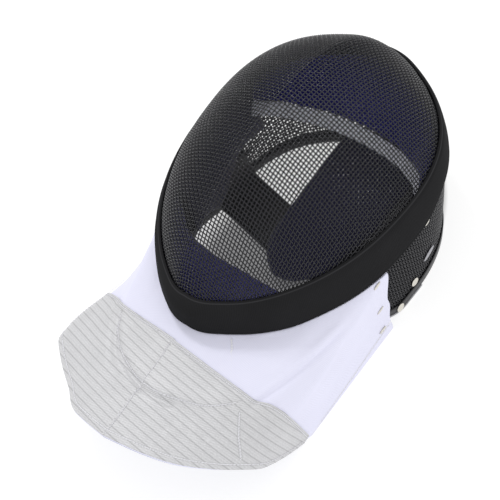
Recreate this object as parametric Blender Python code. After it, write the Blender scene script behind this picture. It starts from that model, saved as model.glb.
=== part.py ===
"""Fencing mask lying face up on its rear rim.

X runs to the wearer's left, Y towards the crown, Z up out of the face; the rear rim lies on Z = 0.
Heights named forward are measured from the widest section, which is SECTION_Z above the floor.
"""
import bmesh
import bpy
import numpy as np

MM = 0.001

# Front mesh: an egg-shaped section that closes towards the face, with a crease down its middle
HALF_WIDTH = 99.7 * MM
WIDER_UP = 0.92            # how much the half width grows for each metre towards the crown
CROWN_HEIGHT = 141.8 * MM
CHIN_HEIGHT = 138.8 * MM
DEPTH = 111.6 * MM
CREASE = 0.203
SIDE_POWER = 1.909
CROWN_POWER = 2.507
CHIN_POWER = 2.105
DEPTH_POWER = 1.555
LEAN = 0.039               # shift towards the crown for each metre forward
CREASE_ROUND = 22.0 * MM   # half width over which the crease softens at the crown and the chin
SHOULDER = 20.0 * MM       # behind this height the section keeps its size until it tapers

# Side mesh and its rear rim
SECTION_Z = 85.0 * MM      # widest section above the floor
MESH_WALL = 2.0 * MM
JOINT_FORWARD = 4.0 * MM   # where the two meshes meet under the trim
RIM_SHRINK_SIDE = 0.010
RIM_SHRINK_CROWN = 0.185
RIM_SHRINK_POWER = 1.6
TAPER_POWER = 1.5
RIM_FLARE_JAW = 3.0 * MM  # the rear edge flares below the ears
RIM_LIFT_CHIN = 42.0 * MM  # the rear edge rises under the chin, where the bib hides it
RIM_HEIGHT = 8.0 * MM
RIM_SKIN = 1.2 * MM

# Trim band over the joint
TRIM_THICK = 3.6 * MM
TRIM_GAP = 0.6 * MM

# Bib
BIB_WALL = 3.0 * MM
BIB_SEAT = 2.1 * MM        # from the trim's rear edge to the middle of the cloth
BIB_COLUMN_COUNT = 41
BIB_ROW_COUNT = 8
PANEL_WALL = 1.0 * MM
LINING_WALL = 1.0 * MM

# Inner pads and strap
PAD_GAP = 0.5 * MM
PAD_THICK = 9.0 * MM
BAND_WIDTH = 9.0 * MM
BAND_THICK = 3.6 * MM
TONGUE_HALF = 40.0 * MM
TONGUE_LOW_Y = -43.0 * MM
TONGUE_THICK = 9.0 * MM
STRAP_WIDTH = 44.0 * MM
STRAP_THICK = 1.6 * MM
STRAP_DROP = 20.0 * MM

# Small metal pieces
RIVET_RADIUS = 4.0 * MM
RIVET_THICK = 0.9 * MM
STAPLE_LENGTH = 8.0 * MM
STAPLE_WIDTH = 2.0 * MM
STAPLE_THICK = 0.8 * MM

GAP = 0.3 * MM
AROUND = 60                # columns round the mask; a multiple of 4 puts one on the crease
ANGLES = np.linspace(0, 2 * np.pi, AROUND, endpoint=False)

# Edges of the trim by the angle below the side: heights forward of its front and rear edges and
# how far its rear edge stands out from the mesh, in mm
TRIM_COLUMNS = ("below", "front", "rear", "rear_out")
TRIM_EDGES = (
    (-90.0, 20.6, -10.0, 4.2),
    (-35.0, 22.2, -10.0, 4.2),
    (-17.0, 23.0, -16.5, 4.2),
    (10.0, 24.1, -17.5, 4.2),
    (29.0, 24.9, -14.0, 6.6),
    (45.0, 25.6, -9.0, 9.4),
    (57.0, 26.0, -6.5, 11.4),
    (69.0, 26.5, -4.0, 11.0),
    (80.0, 28.5, -1.0, 9.8),
    (90.0, 31.0, 0.0, 8.2),
)

# Free edges of the two pads that span the inside, from the middle to the wall, in mm
PAD_COLUMNS = ("x", "y", "forward")
FOREHEAD_EDGE = (
    (0.0, 83.5, -25.5),
    (30.0, 81.0, -24.5),
    (50.0, 75.0, -21.5),
    (70.0, 64.0, -12.5),
    (83.0, 50.0, -3.0),
)
CHIN_EDGE = ((0.0, -66.0, -46.0), (50.0, -66.0, -46.0), (76.0, -64.0, -44.0))

# Bib sections from the middle to the rear edge of one side: the angle below the side and the
# distance behind the trim of its upper edge, how far that edge stands out from the mesh, its
# lower edge, and how far that is moved on the wearer's right, in degrees and mm
BIB_COLUMNS = ("along", "top_angle", "top_back", "top_out", "low_x", "low_y", "low_f",
               "right_x", "right_y", "right_f")
BIB_SECTIONS = (
    (0.00, 90.0, 0.0, 6.1, 0.0, -244.0, -6.0, 0.0, 0.0, 0.0),
    (0.18, 75.0, 0.0, 8.3, 31.0, -239.0, -9.0, 0.0, -1.0, 0.0),
    (0.36, 57.0, 0.0, 9.3, 56.0, -231.5, -14.0, -3.0, 6.0, 0.0),
    (0.52, 38.0, 0.0, 6.1, 77.0, -219.0, -22.0, 0.0, 9.0, 2.0),
    (0.64, 20.0, 0.0, 3.2, 91.0, -203.0, -36.0, 5.0, 10.0, 8.0),
    (0.72, 10.5, 1.5, 2.1, 96.5, -189.0, -52.0, 3.0, 8.0, 9.0),
    (0.86, 14.0, 34.0, 2.1, 98.0, -168.0, -68.0, 1.0, 4.0, 4.0),
    (1.00, 18.0, 64.9, 7.0, 98.5, -138.0, -84.9, 0.0, 0.0, 0.0),
)

# Upper edge of the grey panel from the wearer's right to the left, in mm
PANEL_COLUMNS = ("across", "y")
PANEL_EDGE = (
    (-1.00, -139.0),
    (-0.50, -144.0),
    (-0.34, -148.0),
    (0.00, -153.0),
    (0.21, -156.0),
    (0.47, -157.0),
    (0.58, -151.0),
    (0.71, -147.0),
    (1.00, -140.0),
)

# Rivets on each side, in mm, with their distance from the mesh: the lower one is on the rim.
# Staples stand along the bib's upper edge.
RIVETS = (
    {"name": "front", "forward": -20.4, "y": 36.5, "off": 0.35},
    {"name": "upper", "forward": -72.6, "y": 8.2, "off": 0.35},
    {"name": "lower", "forward": -79.0, "y": -14.0, "off": 1.80},
)
STAPLES = (
    {"name": "front", "along": 0.688, "down": 0.047},
    {"name": "middle", "along": 0.843, "down": 0.081},
    {"name": "rear", "along": 0.944, "down": 0.096},
)
SIDE_PLATE = {"forward": -62.0, "y": 31.0, "length": 16.0, "width": 5.0}


def clear_scene():
    for obj in list(bpy.data.objects):
        bpy.data.objects.remove(obj, do_unlink=True)


def material(name, colour, roughness, metallic=0.0):
    """One Principled material; a name that exists already is used again."""
    made = bpy.data.materials.get(name)
    if made:
        return made
    made = bpy.data.materials.new(name)
    made.use_nodes = True
    shader = made.node_tree.nodes["Principled BSDF"]
    shader.inputs["Base Color"].default_value = (*colour, 1.0)
    shader.inputs["Roughness"].default_value = roughness
    shader.inputs["Metallic"].default_value = metallic
    made.diffuse_color = (*colour, 1.0)
    return made


def add_object(name, verts, faces, mat, smooth=True):
    mesh = bpy.data.meshes.new(name)
    mesh.from_pydata([tuple(v) for v in verts], [], faces)
    work = bmesh.new()
    work.from_mesh(mesh)
    bmesh.ops.remove_doubles(work, verts=work.verts, dist=0.00001)
    bmesh.ops.recalc_face_normals(work, faces=work.faces)
    work.to_mesh(mesh)
    work.free()
    for face in mesh.polygons:
        face.use_smooth = smooth
    obj = bpy.data.objects.new(name, mesh)
    obj.data.materials.append(mat)
    bpy.context.scene.collection.objects.link(obj)
    return obj


def grid_faces(rows, columns, wrap, start=0):
    """Quads of a grid of rows by columns whose first vertex has the index start."""
    faces = []
    last = columns if wrap else columns - 1
    for i in range(rows - 1):
        for j in range(last):
            k = (j + 1) % columns
            faces.append((start + i * columns + j, start + (i + 1) * columns + j,
                          start + (i + 1) * columns + k, start + i * columns + k))
    return faces


def shell(name, outer, inner, mat, wrap=False, smooth=True):
    """Closed solid between two point grids of the same shape (rows, columns, 3)."""
    rows, columns = outer.shape[:2]
    count = rows * columns
    faces = grid_faces(rows, columns, wrap) + grid_faces(rows, columns, wrap, count)
    last = columns if wrap else columns - 1
    for i in (0, rows - 1):
        for j in range(last):
            k = (j + 1) % columns
            faces.append((i * columns + j, i * columns + k, count + i * columns + k,
                          count + i * columns + j))
    if not wrap:
        for j in (0, columns - 1):
            for i in range(rows - 1):
                a = i * columns + j
                b = a + columns
                faces.append((a, b, count + b, count + a))
    verts = np.concatenate([outer.reshape(-1, 3), inner.reshape(-1, 3)])
    return add_object(name, verts, faces, mat, smooth)


def ring(name, profile, mat):
    """Closed ring: profile has the shape (points round the section, columns, 3)."""
    points, columns = profile.shape[:2]
    closed = np.concatenate([profile, profile[:1]])
    faces = grid_faces(points + 1, columns, True)
    return add_object(name, closed.reshape(-1, 3), faces, mat)


def egg_value(x, y, inset=0.0):
    """Left side of the egg section's equation; it is 1 on the widest outline."""
    half = (HALF_WIDTH - inset) * (1 + WIDER_UP * y)
    tall = np.where(y > 0, CROWN_HEIGHT, CHIN_HEIGHT) - inset
    power = np.where(y > 0, CROWN_POWER, CHIN_POWER)
    soft = 0.1 * MM + CREASE_ROUND * np.minimum(np.abs(y / tall), 1) ** 3
    off_middle = np.abs(x) * np.tanh(np.abs(x) / soft)
    side = ((off_middle / half + CREASE) / (1 + CREASE)) ** SIDE_POWER
    return side + np.abs(y / tall) ** power


def egg_radius(angle, level=1.0, inset=0.0):
    """Distance from the middle to the outline egg_value = level, by halving an interval."""
    angle = np.asarray(angle, float)
    low = np.zeros_like(angle)
    high = np.full_like(angle, 0.2)
    for _ in range(40):
        middle = (low + high) / 2
        outside = egg_value(middle * np.cos(angle), middle * np.sin(angle), inset) > level
        high = np.where(outside, middle, high)
        low = np.where(outside, low, middle)
    return low


def place(radius, angle, forward):
    """Points from a radius and an angle round the mask and a forward height."""
    radius, angle, forward = np.broadcast_arrays(radius, angle, forward)
    lean = LEAN * np.maximum(forward, SHOULDER)
    return np.stack([radius * np.cos(angle), radius * np.sin(angle) + lean,
                     forward + SECTION_Z], axis=-1)


def front_radius(angle, forward, inset=0.0):
    """Outline of the front mesh at a forward height of 0 or more."""
    level = 1 - (forward / (DEPTH - inset)) ** DEPTH_POWER
    return egg_radius(angle, level, inset)


def front_height(angle, radius, inset=0.0):
    """Forward height of the front mesh over a point inside its outline."""
    value = egg_value(radius * np.cos(angle), radius * np.sin(angle), inset)
    return (DEPTH - inset) * np.maximum(1 - value, 0) ** (1 / DEPTH_POWER)


def rim_forward(angle):
    """Rear edge of the side mesh: flat on the floor, rising under the chin."""
    low = np.clip((-np.sin(angle) - 0.06) / 0.80, 0, 1)
    return -SECTION_Z + RIM_LIFT_CHIN * low ** 2 * (3 - 2 * low)


def side_radius(angle, forward, inset=0.0):
    """Outline of the side mesh, which narrows from the widest section back to the rim."""
    back = np.clip(-np.asarray(forward, float) / SECTION_Z, 0, 1) ** TAPER_POWER
    crown = np.maximum(np.sin(angle), 0) ** RIM_SHRINK_POWER
    shrink = back * (RIM_SHRINK_SIDE + RIM_SHRINK_CROWN * crown)
    jaw = np.sin(np.pi * np.clip((0.05 - np.sin(angle)) / 0.75, 0, 1)) ** 2
    return front_radius(angle, SHOULDER) * (1 - shrink) + RIM_FLARE_JAW * jaw * back - inset


def mesh_radius(angle, forward, inset=0.0):
    angle, forward = np.broadcast_arrays(angle, forward)
    ahead = front_radius(angle, np.maximum(forward, SHOULDER)) - inset
    return np.where(forward > SHOULDER, ahead, side_radius(angle, forward, inset))


def make_front_mesh():
    """Dome from its flange under the trim to the top, as rings that shrink to a point."""
    fractions = np.sin(np.linspace(0.06, 1, 8) * np.pi / 2)[::-1]
    layers = []
    for inset in (0.0, MESH_WALL):
        edge = front_radius(ANGLES, SHOULDER, inset)
        flange = place(edge[None, :], ANGLES[None, :], JOINT_FORWARD)
        radius = fractions[:, None] * edge[None, :]
        dome = place(radius, ANGLES[None, :], front_height(ANGLES[None, :], radius, inset))
        layers.append(np.concatenate([flange, dome]))
    outer, inner = layers
    rows, columns = outer.shape[:2]
    count = rows * columns
    faces = grid_faces(rows, columns, True) + grid_faces(rows, columns, True, count)
    for j in range(columns):
        k = (j + 1) % columns
        faces.append((j, k, count + k, count + j))
        top = (rows - 1) * columns
        faces.append((top + j, top + k, 2 * count))
        faces.append((count + top + j, count + top + k, 2 * count + 1))
    tips = [place(0.0, 0.0, front_height(0.0, 0.0, inset)) for inset in (0.0, MESH_WALL)]
    verts = np.concatenate([outer.reshape(-1, 3), inner.reshape(-1, 3), np.array(tips)])
    add_object("front_mesh", verts, faces, material("black_wire_mesh", (0.02, 0.02, 0.022), 0.45, 0.6))


def make_side_mesh():
    start = JOINT_FORWARD - GAP
    stop = rim_forward(ANGLES) + RIM_SKIN + GAP
    steps = np.linspace(0, 1, 6)[:, None]
    forward = start + (stop[None, :] - start) * steps
    outer = place(mesh_radius(ANGLES[None, :], forward), ANGLES[None, :], forward)
    inner = place(mesh_radius(ANGLES[None, :], forward, MESH_WALL), ANGLES[None, :], forward)
    shell("side_mesh", outer, inner, material("black_wire_mesh", (0.02, 0.02, 0.022), 0.45, 0.6), wrap=True)


def make_rear_rim():
    """U-shaped binding that clasps the side mesh's rear edge."""
    base = rim_forward(ANGLES)
    outside = GAP + RIM_SKIN
    inside = MESH_WALL + GAP + RIM_SKIN
    section = (
        (outside, RIM_HEIGHT), (outside, 0.0), (-inside, 0.0), (-inside, RIM_HEIGHT),
        (RIM_SKIN - inside, RIM_HEIGHT), (RIM_SKIN - inside, RIM_SKIN), (GAP, RIM_SKIN), (GAP, RIM_HEIGHT),
    )
    profile = []
    for offset, rise in section:
        forward = base + rise
        profile.append(place(side_radius(ANGLES, forward) + offset, ANGLES, forward))
    ring("rear_rim", np.array(profile), material("black_binding", (0.015, 0.015, 0.016), 0.55))


def smooth_column(rows, index, where):
    """Value of a table's column by a monotone cubic through its rows."""
    x = np.array([row[0] for row in rows])
    y = np.array([row[index] for row in rows])
    step = np.diff(x)
    slope = np.diff(y) / step
    tangent = np.zeros_like(y)
    same = slope[:-1] * slope[1:] > 0
    blend = 2 * slope[:-1] * slope[1:] / np.where(same, slope[:-1] + slope[1:], 1.0)
    tangent[1:-1] = np.where(same, blend, 0.0)
    tangent[-1] = slope[-1]
    cell = np.clip(np.searchsorted(x, where, side="right") - 1, 0, len(x) - 2)
    t = (where - x[cell]) / step[cell]
    low = y[cell] * (1 + 2 * t) * (1 - t) ** 2 + tangent[cell] * step[cell] * t * (1 - t) ** 2
    high = y[cell + 1] * t ** 2 * (3 - 2 * t) + tangent[cell + 1] * step[cell] * t ** 2 * (t - 1)
    return low + high


def trim_edge(angle, name):
    """One column of the trim's table, the same on both sides of the mask."""
    below = -np.degrees(np.arcsin(np.clip(np.sin(angle), -1, 1)))
    return smooth_column(TRIM_EDGES, TRIM_COLUMNS.index(name), below) * MM


def make_mesh_trim():
    """Band with a soft round front edge that covers the joint; it stands out at the chin."""
    front = trim_edge(ANGLES, "front")
    rear = trim_edge(ANGLES, "rear")
    flare = trim_edge(ANGLES, "rear_out") - TRIM_THICK - TRIM_GAP
    shoulder = (front - SHOULDER) / (front - rear)
    section = (
        (0.0, 0.0), (0.02, 0.35), (0.12, 0.65), (0.30, 0.9), (0.60, 1.0), (0.88, 1.0), (1.0, 0.85),
        (1.0, 0.0), (0.66, 0.0), (0.33, 0.0), (shoulder, 0.0),
    )
    profile = []
    for share, thick in section:
        forward = front + (rear - front) * share
        offset = TRIM_GAP + TRIM_THICK * thick + flare * share
        profile.append(place(mesh_radius(ANGLES, forward) + offset, ANGLES, forward))
    ring("mesh_trim", np.array(profile), material("black_trim_cloth", (0.03, 0.03, 0.032), 0.8))


def bib_point(across, down):
    """Middle surface of the bib: across runs from -1 to 1, down from 0 at the mask to 1."""
    across, down = np.broadcast_arrays(np.asarray(across, float), np.asarray(down, float))
    column = {name: smooth_column(BIB_SECTIONS, i, np.abs(across)) for i, name in enumerate(BIB_COLUMNS)}
    angle = -np.radians(column["top_angle"])
    forward = trim_edge(angle, "rear") - BIB_SEAT - column["top_back"] * MM
    top = place(side_radius(angle, forward) + column["top_out"] * MM, angle, forward)
    right = np.where(across < 0, 1.0, 0.0)
    low = np.stack([column[f"low_{axis}"] + right * column[f"right_{axis}"] for axis in "xyf"], axis=-1) * MM
    low[..., 2] += SECTION_Z
    points = top + (low - top) * down[..., None]
    points[..., 0] *= np.where(across < 0, -1.0, 1.0)
    return points


def bib_normal(across, down):
    """Unit normal of the bib, pointing away from the throat."""
    step = 0.004
    inner = np.clip(across, -1 + step, 1 - step)
    along = bib_point(inner + step, down) - bib_point(inner - step, down)
    fall = bib_point(across, down + step) - bib_point(across, down - step)
    normal = np.cross(fall, along)
    return normal / np.linalg.norm(normal, axis=-1, keepdims=True)


def bib_layer(across, down, offset):
    """Bib surface moved by offset, with its rear edges kept off the floor."""
    points = bib_point(across, down) + bib_normal(across, down) * offset
    points[..., 2] = np.maximum(points[..., 2], 0.0)
    return points


def bib_grid(skip_columns=0, skip_rows=0):
    """Places across and down the bib, all of its layers on the same columns and rows."""
    across = np.linspace(-1, 1, BIB_COLUMN_COUNT)[skip_columns:BIB_COLUMN_COUNT - skip_columns]
    down = np.linspace(0, 1, BIB_ROW_COUNT)[skip_rows:]
    return np.broadcast_arrays(across[None, :], down[:, None])


def panel_start(across):
    """Share of the way down the bib where the grey cloth begins."""
    top = bib_point(across, 0.0)[..., 1]
    low = bib_point(across, 1.0)[..., 1]
    edge = smooth_column(PANEL_EDGE, PANEL_COLUMNS.index("y"), across) * MM
    return np.clip((edge - top) / (low - top), 0.0, 0.97)


def make_bib():
    half = BIB_WALL / 2
    across, down = bib_grid()
    shell("bib", bib_layer(across, down, half), bib_layer(across, down, -half),
          material("white_bib_cloth", (0.78, 0.78, 0.86), 0.85))

    across, share = bib_grid(skip_columns=1, skip_rows=3)
    share = (share - share[0]) / (1 - share[0])
    start = panel_start(across)
    down = start + (0.997 - start) * share
    base = half + GAP
    shell("bib_panel", bib_layer(across, down, base + PANEL_WALL), bib_layer(across, down, base),
          material("grey_conductive_cloth", (0.62, 0.62, 0.64), 0.6, 0.2))

    across, down = bib_grid(skip_columns=1, skip_rows=3)
    base = -half - GAP
    shell("bib_lining", bib_layer(across, down, base), bib_layer(across, down, base - LINING_WALL),
          material("navy_lining_cloth", (0.03, 0.05, 0.16), 0.85))


def span_pad(name, first, last, edge, mat):
    """Padded cloth from the mesh's inner wall to a free edge across the mask.

    Returns the free edge's points with the directions away from the pad and out of its face.
    """
    angle = ANGLES[first:last + 1]
    wall_forward = 14.0 * MM
    wall_radius = mesh_radius(angle, wall_forward, MESH_WALL + PAD_GAP + 3.5 * MM)
    wall = place(wall_radius, angle, wall_forward)
    x = edge[-1][0] * np.cos(angle) / np.abs(np.cos(angle[0]))
    y = smooth_column(edge, PAD_COLUMNS.index("y"), np.abs(x))
    forward = smooth_column(edge, PAD_COLUMNS.index("forward"), np.abs(x))
    free = np.stack([x, y, forward], axis=-1) * MM
    free[:, 2] += SECTION_Z
    share = np.linspace(0, 1, 5)[:, None, None]
    middle = wall + (free - wall) * share
    puff = PAD_THICK * (0.35 + 0.65 * np.sin(np.pi * (0.12 + 0.76 * share)))
    fall = free - wall
    across = np.broadcast_to(np.array([1.0, 0.0, 0.0]), fall.shape)
    normal = np.cross(fall, across)
    normal /= np.linalg.norm(normal, axis=-1, keepdims=True)
    normal *= np.sign(normal[:, 2:3])
    shell(name, middle + normal * puff / 2, middle - normal * puff / 2, mat)
    fall /= np.linalg.norm(fall, axis=-1, keepdims=True)
    return free, fall, normal


def make_span_pads():
    blue = material("blue_pad_cloth", (0.03, 0.04, 0.3), 0.85)
    quarter = AROUND // 4
    free, fall, normal = span_pad("forehead_pad", 6, 2 * quarter - 6, FOREHEAD_EDGE, blue)
    span_pad("chin_pad", 2 * quarter + 6, AROUND - 6, CHIN_EDGE, blue)

    grid = np.stack([free + fall * reach for reach in (GAP, GAP + BAND_WIDTH)])
    half = normal * BAND_THICK / 2
    shell("forehead_band", grid + half, grid - half, material("pale_binding", (0.5, 0.5, 0.55), 0.7))


def make_cheek_pads():
    """Padded cloth on the inner walls, cut back where the strap comes in."""
    mat = material("navy_pad_cloth", (0.03, 0.03, 0.09), 0.85)
    step = 2 * np.pi / AROUND
    for side, name in ((1, "cheek_pad_left"), (-1, "cheek_pad_right")):
        angle = np.arange(-6, 6) * step + step / 2
        share = np.linspace(0, 1, 6)[:, None]
        y = egg_radius(angle) * np.sin(angle)
        cut = np.clip((y + 15 * MM) / (42 * MM), 0, 1) + 0.6 * np.clip((-20 * MM - y) / (30 * MM), 0, 1)
        rear = -71 * MM + 27 * MM * cut
        forward = 10 * MM + (rear[None, :] - 10 * MM) * share
        start = MESH_WALL + PAD_GAP + STRAP_THICK + PAD_GAP
        puff = 6.5 * MM * np.sin(np.pi * (0.14 + 0.72 * share))
        radius = mesh_radius(angle[None, :], forward, start)
        outer = place(radius, angle[None, :], forward)
        inner = place(radius - puff, angle[None, :], forward)
        for grid in (outer, inner):
            grid[..., 0] *= side
        shell(name, outer, inner, mat)


def wall_angle(y, forward):
    """Angle round the mask at which the side mesh has the height y."""
    y, forward = np.broadcast_arrays(np.asarray(y, float), np.asarray(forward, float))
    angle = np.zeros(y.shape)
    for _ in range(30):
        angle = np.arcsin(np.clip(y / side_radius(angle, forward), -1, 1))
    return angle


def wall_x(y, forward, inset=0.0):
    angle = wall_angle(y, forward)
    return (side_radius(angle, forward) - inset) * np.cos(angle)


def crown_y(x, forward, inset=0.0):
    """Height of the crown's inner wall over a place x across the mask."""
    angle = np.full(np.shape(x), np.pi / 2)
    for _ in range(30):
        angle = np.arccos(np.clip(x / (side_radius(angle, forward) - inset), -1, 1))
    return (side_radius(angle, forward) - inset) * np.sin(angle)


def make_rear_tongue():
    """Padded tongue that hangs from the crown's rear rim behind the head."""
    bottom_z = 6.0 * MM
    corner = 40 * MM
    rows = np.linspace(0, 1, 9)[:, None]
    columns = np.linspace(-1, 1, 11)[None, :]
    inset = MESH_WALL + GAP + RIM_SKIN + GAP
    middle_top = crown_y(np.zeros(1), bottom_z - SECTION_Z, inset)[0]
    y = middle_top + (TONGUE_LOW_Y - middle_top) * rows
    rise = np.clip((y - TONGUE_LOW_Y) / corner, 0, 1)
    wide = np.minimum(TONGUE_HALF, 34 * MM + 0.12 * (y + 4 * MM))
    half = wide * np.sqrt(np.maximum(1 - (1 - rise) ** 2, 0.02))
    aside = -5 * MM * np.clip((40 * MM - y) / (80 * MM), 0, 1)
    x = columns * half + aside
    drop = middle_top - crown_y(x, bottom_z - SECTION_Z, inset)
    y = y - drop * (1 - rows)
    edge = 1 - 0.55 * np.abs(columns) ** 3
    thick = TONGUE_THICK * edge * (0.55 + 0.45 * np.sin(np.pi * (0.1 + 0.8 * rows)))
    low = np.stack([x, y, np.full_like(x, bottom_z)], axis=-1)
    high = low + thick[..., None] * np.array([0.0, 0.0, 1.0])
    shell("rear_tongue", high, low, material("navy_pad_cloth", (0.03, 0.03, 0.09), 0.85))


def strap_side():
    """Middle surface of half the strap: from the middle along the floor, then up the inner wall."""
    reach = (0.0, 0.3, 0.6, 0.82, 0.93, 0.975, 1.0, 1.0, 1.0)
    height = (3.4, 3.4, 3.4, 3.4, 3.4, 4.6, 10.5, 15.0, 36.0)
    low_inset = MESH_WALL + GAP + RIM_SKIN + GAP + STRAP_THICK / 2
    wall_inset = MESH_WALL + PAD_GAP + STRAP_THICK / 2
    lines = []
    for share, z in zip(reach, height):
        z = z * MM
        y = 9.0 * MM - STRAP_DROP * (1 - share) + np.array([0.5, 0.0, -0.5]) * STRAP_WIDTH
        inset = low_inset if z < RIM_HEIGHT + 3 * MM else wall_inset
        x = share * wall_x(y, z - SECTION_Z, inset)
        lines.append(np.stack([x, y, np.full(3, z)], axis=-1))
    return np.array(lines)


def make_back_strap():
    """Wide strap from wall to wall under the tongue; its ends turn up along the inner walls."""
    half = strap_side()
    other = half[:0:-1] * np.array([-1.0, 1.0, 1.0])
    middle = np.concatenate([other, half])
    along = np.gradient(middle, axis=0)
    across = np.broadcast_to(middle[:, :1] - middle[:, 2:], along.shape)
    normal = np.cross(along, across)
    normal /= np.linalg.norm(normal, axis=-1, keepdims=True)
    shell("back_strap", middle + normal * STRAP_THICK / 2, middle - normal * STRAP_THICK / 2,
          material("black_strap_web", (0.012, 0.012, 0.014), 0.7))


def surface_frame(y, forward):
    """Point, outward normal and rearward tangent on the side mesh at a height y."""
    def at(dy, df):
        angle = wall_angle(y + dy, forward)
        return place(side_radius(angle, forward + df), angle, forward + df)

    point = at(0, 0)
    along = at(MM, 0) - at(-MM, 0)
    rear = at(0, -MM) - at(0, MM)
    along /= np.linalg.norm(along)
    rear /= np.linalg.norm(rear)
    normal = np.cross(rear, along)
    normal /= np.linalg.norm(normal)
    return point, normal * np.sign(normal[0]), along


def make_disc(name, point, normal, along, size, thick, sides, mat, mirror):
    """Flat oval or round plate lying on a surface; mirror puts it on the other cheek."""
    across = np.cross(normal, along)
    turns = np.linspace(0, 2 * np.pi, sides, endpoint=False)
    rim = [along * size[0] * np.cos(t) + across * size[1] * np.sin(t) for t in turns]
    levels = ((1.0, 0.0), (1.0, thick * 0.55), (0.72, thick))
    verts = [point + r * grow + normal * rise for grow, rise in levels for r in rim]
    faces = [(i * sides + j, i * sides + (j + 1) % sides, (i + 1) * sides + (j + 1) % sides,
              (i + 1) * sides + j) for i in range(2) for j in range(sides)]
    faces += [tuple(range(sides)), tuple(range(2 * sides, 3 * sides))]
    verts = np.array(verts)
    verts[:, 0] *= mirror
    add_object(name, verts, faces, mat, smooth=False)


def make_metal_pieces():
    steel = material("warm_steel", (0.62, 0.6, 0.54), 0.35, 1.0)
    grey = material("grey_steel", (0.4, 0.4, 0.42), 0.4, 1.0)
    for side, mirror in (("left", 1), ("right", -1)):
        for row in RIVETS:
            point, normal, along = surface_frame(row["y"] * MM, row["forward"] * MM)
            make_disc(f"rivet_{side}_{row['name']}", point + normal * row["off"] * MM, normal, along,
                      (RIVET_RADIUS, RIVET_RADIUS), RIVET_THICK, 12, steel, mirror)
        point, normal, along = surface_frame(SIDE_PLATE["y"] * MM, SIDE_PLATE["forward"] * MM)
        make_disc(f"side_plate_{side}", point + normal * 0.4 * MM, normal, along,
                  (SIDE_PLATE["length"] * MM / 2, SIDE_PLATE["width"] * MM / 2), 1.0 * MM, 12, grey, mirror)
        for row in STAPLES:
            across = np.array([mirror * row["along"]])
            down = np.array([row["down"]])
            normal = bib_normal(across, down)[0]
            middle = bib_point(across, down)[0] + normal * (BIB_WALL / 2 + GAP)
            fall = bib_point(across, down + 0.01)[0] - bib_point(across, down - 0.01)[0]
            fall /= np.linalg.norm(fall)
            make_disc(f"staple_{side}_{row['name']}", middle, normal, fall,
                      (STAPLE_LENGTH / 2, STAPLE_WIDTH / 2), STAPLE_THICK, 8, steel, 1)


def main():
    clear_scene()
    make_front_mesh()
    make_side_mesh()
    make_rear_rim()
    make_mesh_trim()
    make_bib()
    make_span_pads()
    make_cheek_pads()
    make_rear_tongue()
    make_back_strap()
    make_metal_pieces()


main()
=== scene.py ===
"""Fencing mask of woven wire with its trim, throat bib and pads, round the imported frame.

X runs to the wearer's left, Y towards the crown, Z up out of the face; the rear rim lies on Z = 0.
Heights named forward are measured from the widest section, which is SECTION_Z above the floor.
"""

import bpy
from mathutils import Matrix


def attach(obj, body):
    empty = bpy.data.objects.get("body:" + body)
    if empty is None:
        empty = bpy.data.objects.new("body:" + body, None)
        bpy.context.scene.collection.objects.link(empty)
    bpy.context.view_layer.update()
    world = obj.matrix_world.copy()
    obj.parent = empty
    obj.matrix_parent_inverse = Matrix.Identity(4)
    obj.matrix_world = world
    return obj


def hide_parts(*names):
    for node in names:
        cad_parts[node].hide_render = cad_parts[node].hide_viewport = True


bl_info = {
    "name": "Fencing mask",
    "version": (1, 0, 0),
    "blender": (4, 5, 0),
    "location": "View3D > Sidebar > Mask",
    "description": "Builds a woven wire fencing mask with its trim, bib, pads and strap",
    "category": "Add Mesh",
}

import bpy
import numpy as np
from mathutils import Matrix

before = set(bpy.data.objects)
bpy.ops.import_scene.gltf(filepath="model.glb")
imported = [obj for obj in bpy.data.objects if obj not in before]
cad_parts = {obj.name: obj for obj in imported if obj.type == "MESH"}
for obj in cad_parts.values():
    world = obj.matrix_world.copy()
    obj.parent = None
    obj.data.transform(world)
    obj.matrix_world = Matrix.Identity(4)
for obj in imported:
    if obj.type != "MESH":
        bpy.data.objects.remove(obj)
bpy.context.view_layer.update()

MM = 0.001

# Front mesh: an egg-shaped section that closes towards the face, with a crease down its middle
HALF_WIDTH = 99.7 * MM
WIDER_UP = 0.92
CROWN_HEIGHT = 141.8 * MM
CHIN_HEIGHT = 138.8 * MM
DEPTH = 111.6 * MM
CREASE = 0.203
SIDE_POWER = 1.909
CROWN_POWER = 2.507
CHIN_POWER = 2.105
DEPTH_POWER = 1.555
LEAN = 0.039
CREASE_ROUND = 22.0 * MM
SHOULDER = 20.0 * MM
TOP_LEVEL = (CREASE / (1 + CREASE)) ** SIDE_POWER       # the section's value on the crease

# Side mesh and its rear rim
SECTION_Z = 85.0 * MM
MESH_WALL = 2.0 * MM
JOINT_FORWARD = 4.0 * MM
RIM_SHRINK_SIDE = 0.010
RIM_SHRINK_CROWN = 0.185
RIM_SHRINK_POWER = 1.6
TAPER_POWER = 1.5
RIM_FLARE_JAW = 3.0 * MM
RIM_LIFT_CHIN = 42.0 * MM
RIM_HEIGHT = 8.0 * MM
RIM_SKIN = 1.2 * MM

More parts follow.
